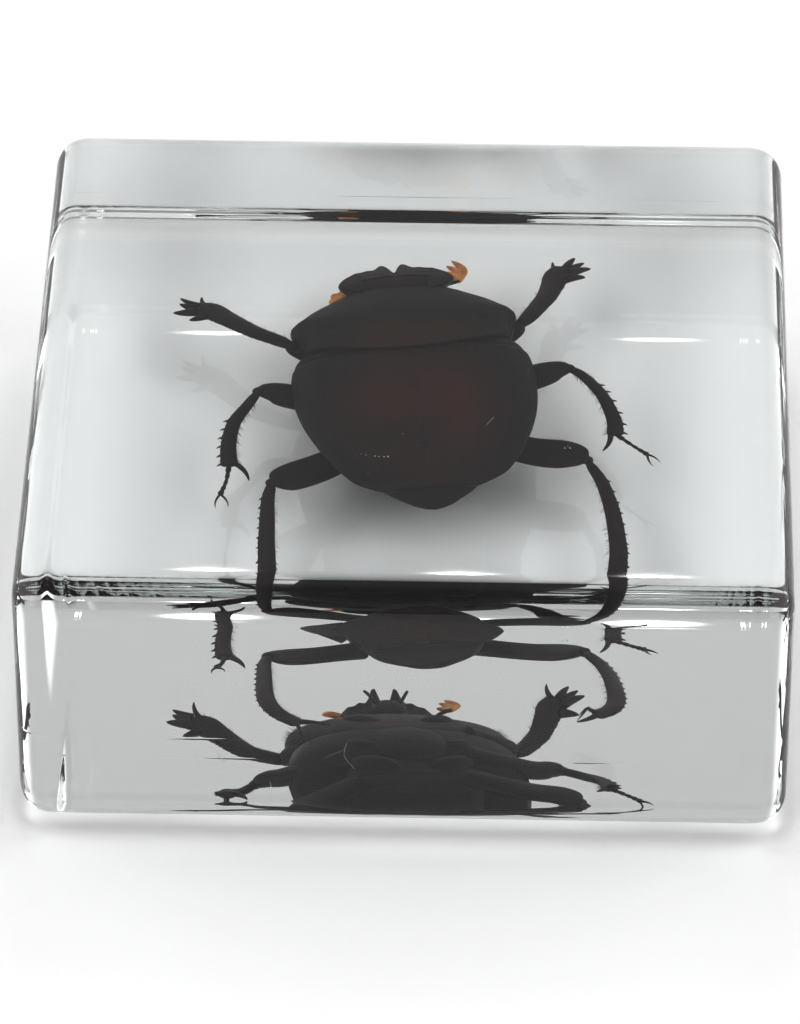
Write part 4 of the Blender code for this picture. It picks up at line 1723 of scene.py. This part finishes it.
@dataclass
class Flecks:
    """Dust and fibres caught in the resin: specks over the wing cases, fine curved hairs behind the front.

    A speck is x, y, z and its half length. A fibre is three points and its thickness.
    """

    finish: Mottled
    specks: tuple[tuple[float, float, float, float], ...] = (
        (-2.52, -4.94, 9.15, 0.035),
        (-2.25, -5.01, 9.15, 0.04),
        (-1.78, -5.09, 9.15, 0.05),
        (-1.57, -5.12, 9.15, 0.05),
        (-1.3, -5.14, 9.15, 0.06),
        (-1.09, -5.12, 9.15, 0.07),
        (-0.34, -3.26, 9.3, 0.035),
        (0.28, -2.81, 9.3, 0.025),
        (0.47, -4.19, 9.2, 0.025),
        (-2.11, -6.51, 9.0, 0.03),
        (8.22, -2.34, 5.7, 0.06),
        (8.5, -2.33, 5.7, 0.07),
        (8.38, -2.2, 5.75, 0.04),
    )
    fibres: tuple[tuple[Point, Point, Point, float], ...] = (
        ((-9.55, -19.9, 5.25), (-9.42, -19.9, 4.9), (-9.05, -19.9, 4.45), 0.02),
        ((-2.85, -19.9, 6.0), (-2.98, -19.9, 5.1), (-2.45, -19.9, 4.2), 0.014),
        ((4.03, -2.34, 9.1), (4.25, -2.0, 9.2), (4.44, -1.65, 9.15), 0.018),
        ((-6.85, -19.9, 3.2), (-6.8, -19.9, 2.95), (-6.82, -19.9, 2.65), 0.02),
    )

    def build(self) -> None:
        """Makes the flecks."""
        skin = Skin()
        for x, y, z, size in self.specks:
            skin.blob(np.array([x, y, z]), (size, size * 0.6, size * 0.5), x, 8)
        for *path, thickness in self.fibres:
            rows = [(*point, thickness, thickness) for point in path]
            skin.tube(*limb(rows, 18, 6, ends=(0.1, 0.1)))
        show("trapped_flecks", skin.mesh("trapped_flecks"), self.finish.build(), RESIN_SLOT)


# ---- Stage, light and camera ----


@dataclass
class Studio:
    """A pale floor, soft light strongest from both sides, small lamps, and light paths for clear resin."""

    floor_drop: float = 0.1
    floor_size: float = 4.0
    floor_colour: Point = (0.92, 0.92, 0.92)
    beside: float = 1.88
    behind: float = 0.66
    before: float = 0.4
    side_span: Pair = (0.3, 0.62)
    rear_span: Pair = (-0.35, 0.1)
    lamp_strength: float = 40.0
    lamp_tilt: float = math.radians(38.0)
    lamp_length: float = math.radians(2.2)
    lamp_places: Point = (-0.0465, -0.0097, 0.0187)
    lamp_width: float = 0.0035
    contrast: float = 0.77
    inner_bounces: int = 32

    def floor(self) -> None:
        """A white floor a hair below the block's base, with a soft gloss."""
        half = self.floor_size / 2
        z = -self.floor_drop * MM
        mesh = bpy.data.meshes.new("floor")
        corners = [(-half, -half, z), (half, -half, z), (half, half, z), (-half, half, z)]
        mesh.from_pydata(corners, [], [(0, 1, 2, 3)])
        gloss = {"Roughness": 0.35, "Specular IOR Level": 0.4}
        material, graph, shader = new_material("floor_white", gloss)
        tone = graph.noise(graph.place(), 30.0, 2.0)
        pale = tuple(part * 0.985 for part in self.floor_colour)
        graph.feed(shader.inputs["Base Color"], graph.mix(tone, pale, self.floor_colour))
        mesh.materials.append(material)
        piece = link("floor", mesh)

    def sky(self) -> None:
        """World light: bright from both sides, dimmer behind and in front, with a row of three small lamps.

        The side light is a step in the size of the direction's X, and the rear light a step in its Y. A lamp
        is a hump in X times a hump in the tilt from straight up, counted along Y.
        """
        world = bpy.data.worlds.new("studio")
        bpy.context.scene.world = world
        world.use_nodes = True
        graph = Graph(world.node_tree)
        x, y, z = graph.split(graph.add("ShaderNodeTexCoord", output="Generated"))
        side = x.maths("ABSOLUTE", x).step(*self.side_span)
        middle = self.before + y.step(*self.rear_span) * (self.behind - self.before)
        strength = middle + side * (self.beside - middle)
        row = y.maths("ARCTAN2", y, z).bell(self.lamp_tilt, self.lamp_length)
        for place in self.lamp_places:
            strength = strength + x.bell(place, self.lamp_width) * row * self.lamp_strength
        background = graph.tree.nodes["Background"]
        background.inputs["Color"].default_value = (1.0, 1.0, 1.0, 1.0)
        graph.feed(background.inputs["Strength"], strength)

    def develop(self) -> None:
        """Plain tones with a little contrast, and enough bounces for light to leave the block again."""
        view = bpy.context.scene.view_settings
        view.view_transform = "Standard"
        view.gamma = self.contrast
        paths = bpy.context.scene.cycles
        paths.max_bounces = paths.glossy_bounces = paths.transmission_bounces = self.inner_bounces
        paths.blur_glossy = 0.0

    def build(self) -> None:
        """Makes the floor, the light and the tones."""
        self.floor()
        self.sky()
        self.develop()


@dataclass
class Camera:
    """The photograph's view: a long lens from in front and above, fitted to the block's outline."""

    focal_pixels: float = 6797.0
    frame_pixels: float = 1024.0
    distance: float = 0.3649
    elevation: float = math.radians(39.2)
    azimuth: float = math.radians(1.39)
    offset: Pair = (10.9, 41.0)
    target: Point = (0.0, 0.0, 0.008)

    def build(self) -> None:
        """Sets the camera back from the target, and aside by the offset, which is in pixels."""
        level, rise = math.cos(self.elevation), math.sin(self.elevation)
        back = Vector((math.sin(self.azimuth) * level, -math.cos(self.azimuth) * level, rise))
        right = Vector((math.cos(self.azimuth), math.sin(self.azimuth), 0.0))
        up = back.cross(right)
        aside = right * self.offset[0] + up * self.offset[1]
        place = Vector(self.target) + back * self.distance - aside * (self.distance / self.focal_pixels)
        lens = bpy.data.cameras.new("camera")
        lens.lens = self.focal_pixels * lens.sensor_width / self.frame_pixels
        lens.clip_start = 0.01
        camera = link("camera", lens)
        camera.matrix_world = Matrix((right, up, back)).transposed().to_4x4()
        camera.location = place
        bpy.context.scene.camera = camera


def main() -> None:
    """Builds the stage and the pieces in order."""
    logging.basicConfig(level=logging.INFO, format="%(name)s: %(message)s")
    Camera().build()
    Studio().build()
    ResinBlock(ClearResin()).build()
    Flecks(FLECK).build()
    # Patches of warm colour on the tops of wing cases and pronotum: partly the shell's brown, partly painted
    # light from above.
    wing_brown_and_painted_light = ((-0.9, -0.6, 2.7, 4.6), (2.0, -0.9, 2.3, 4.4))
    WingCases(Chitin("wing_case_shell", warm=(0.06, 0.012, 0.012), warmth=1.0, brown_and_painted_light_patches=wing_brown_and_painted_light)).build()
    shield_brown_and_painted_light = ((-0.3, 5.3, 3.4, 1.5),)
    Pronotum(Chitin("pronotum_shell", warm=(0.075, 0.034, 0.012), warmth=1.0, brown_and_painted_light_patches=shield_brown_and_painted_light)).build()
    Head(Chitin("head_shell", warmth=0.3, pit_spacing=0.22, pit_depth=0.016)).build()
    Underbody(Chitin("underbody_shell", dark=(0.009, 0.008, 0.009), warmth=0.2, dust=0.1)).build()
    Limbs(Chitin("leg_shell", warmth=0.3), ClubVelvet(), BRISTLE).build()


if __name__ == "__main__":
    main()
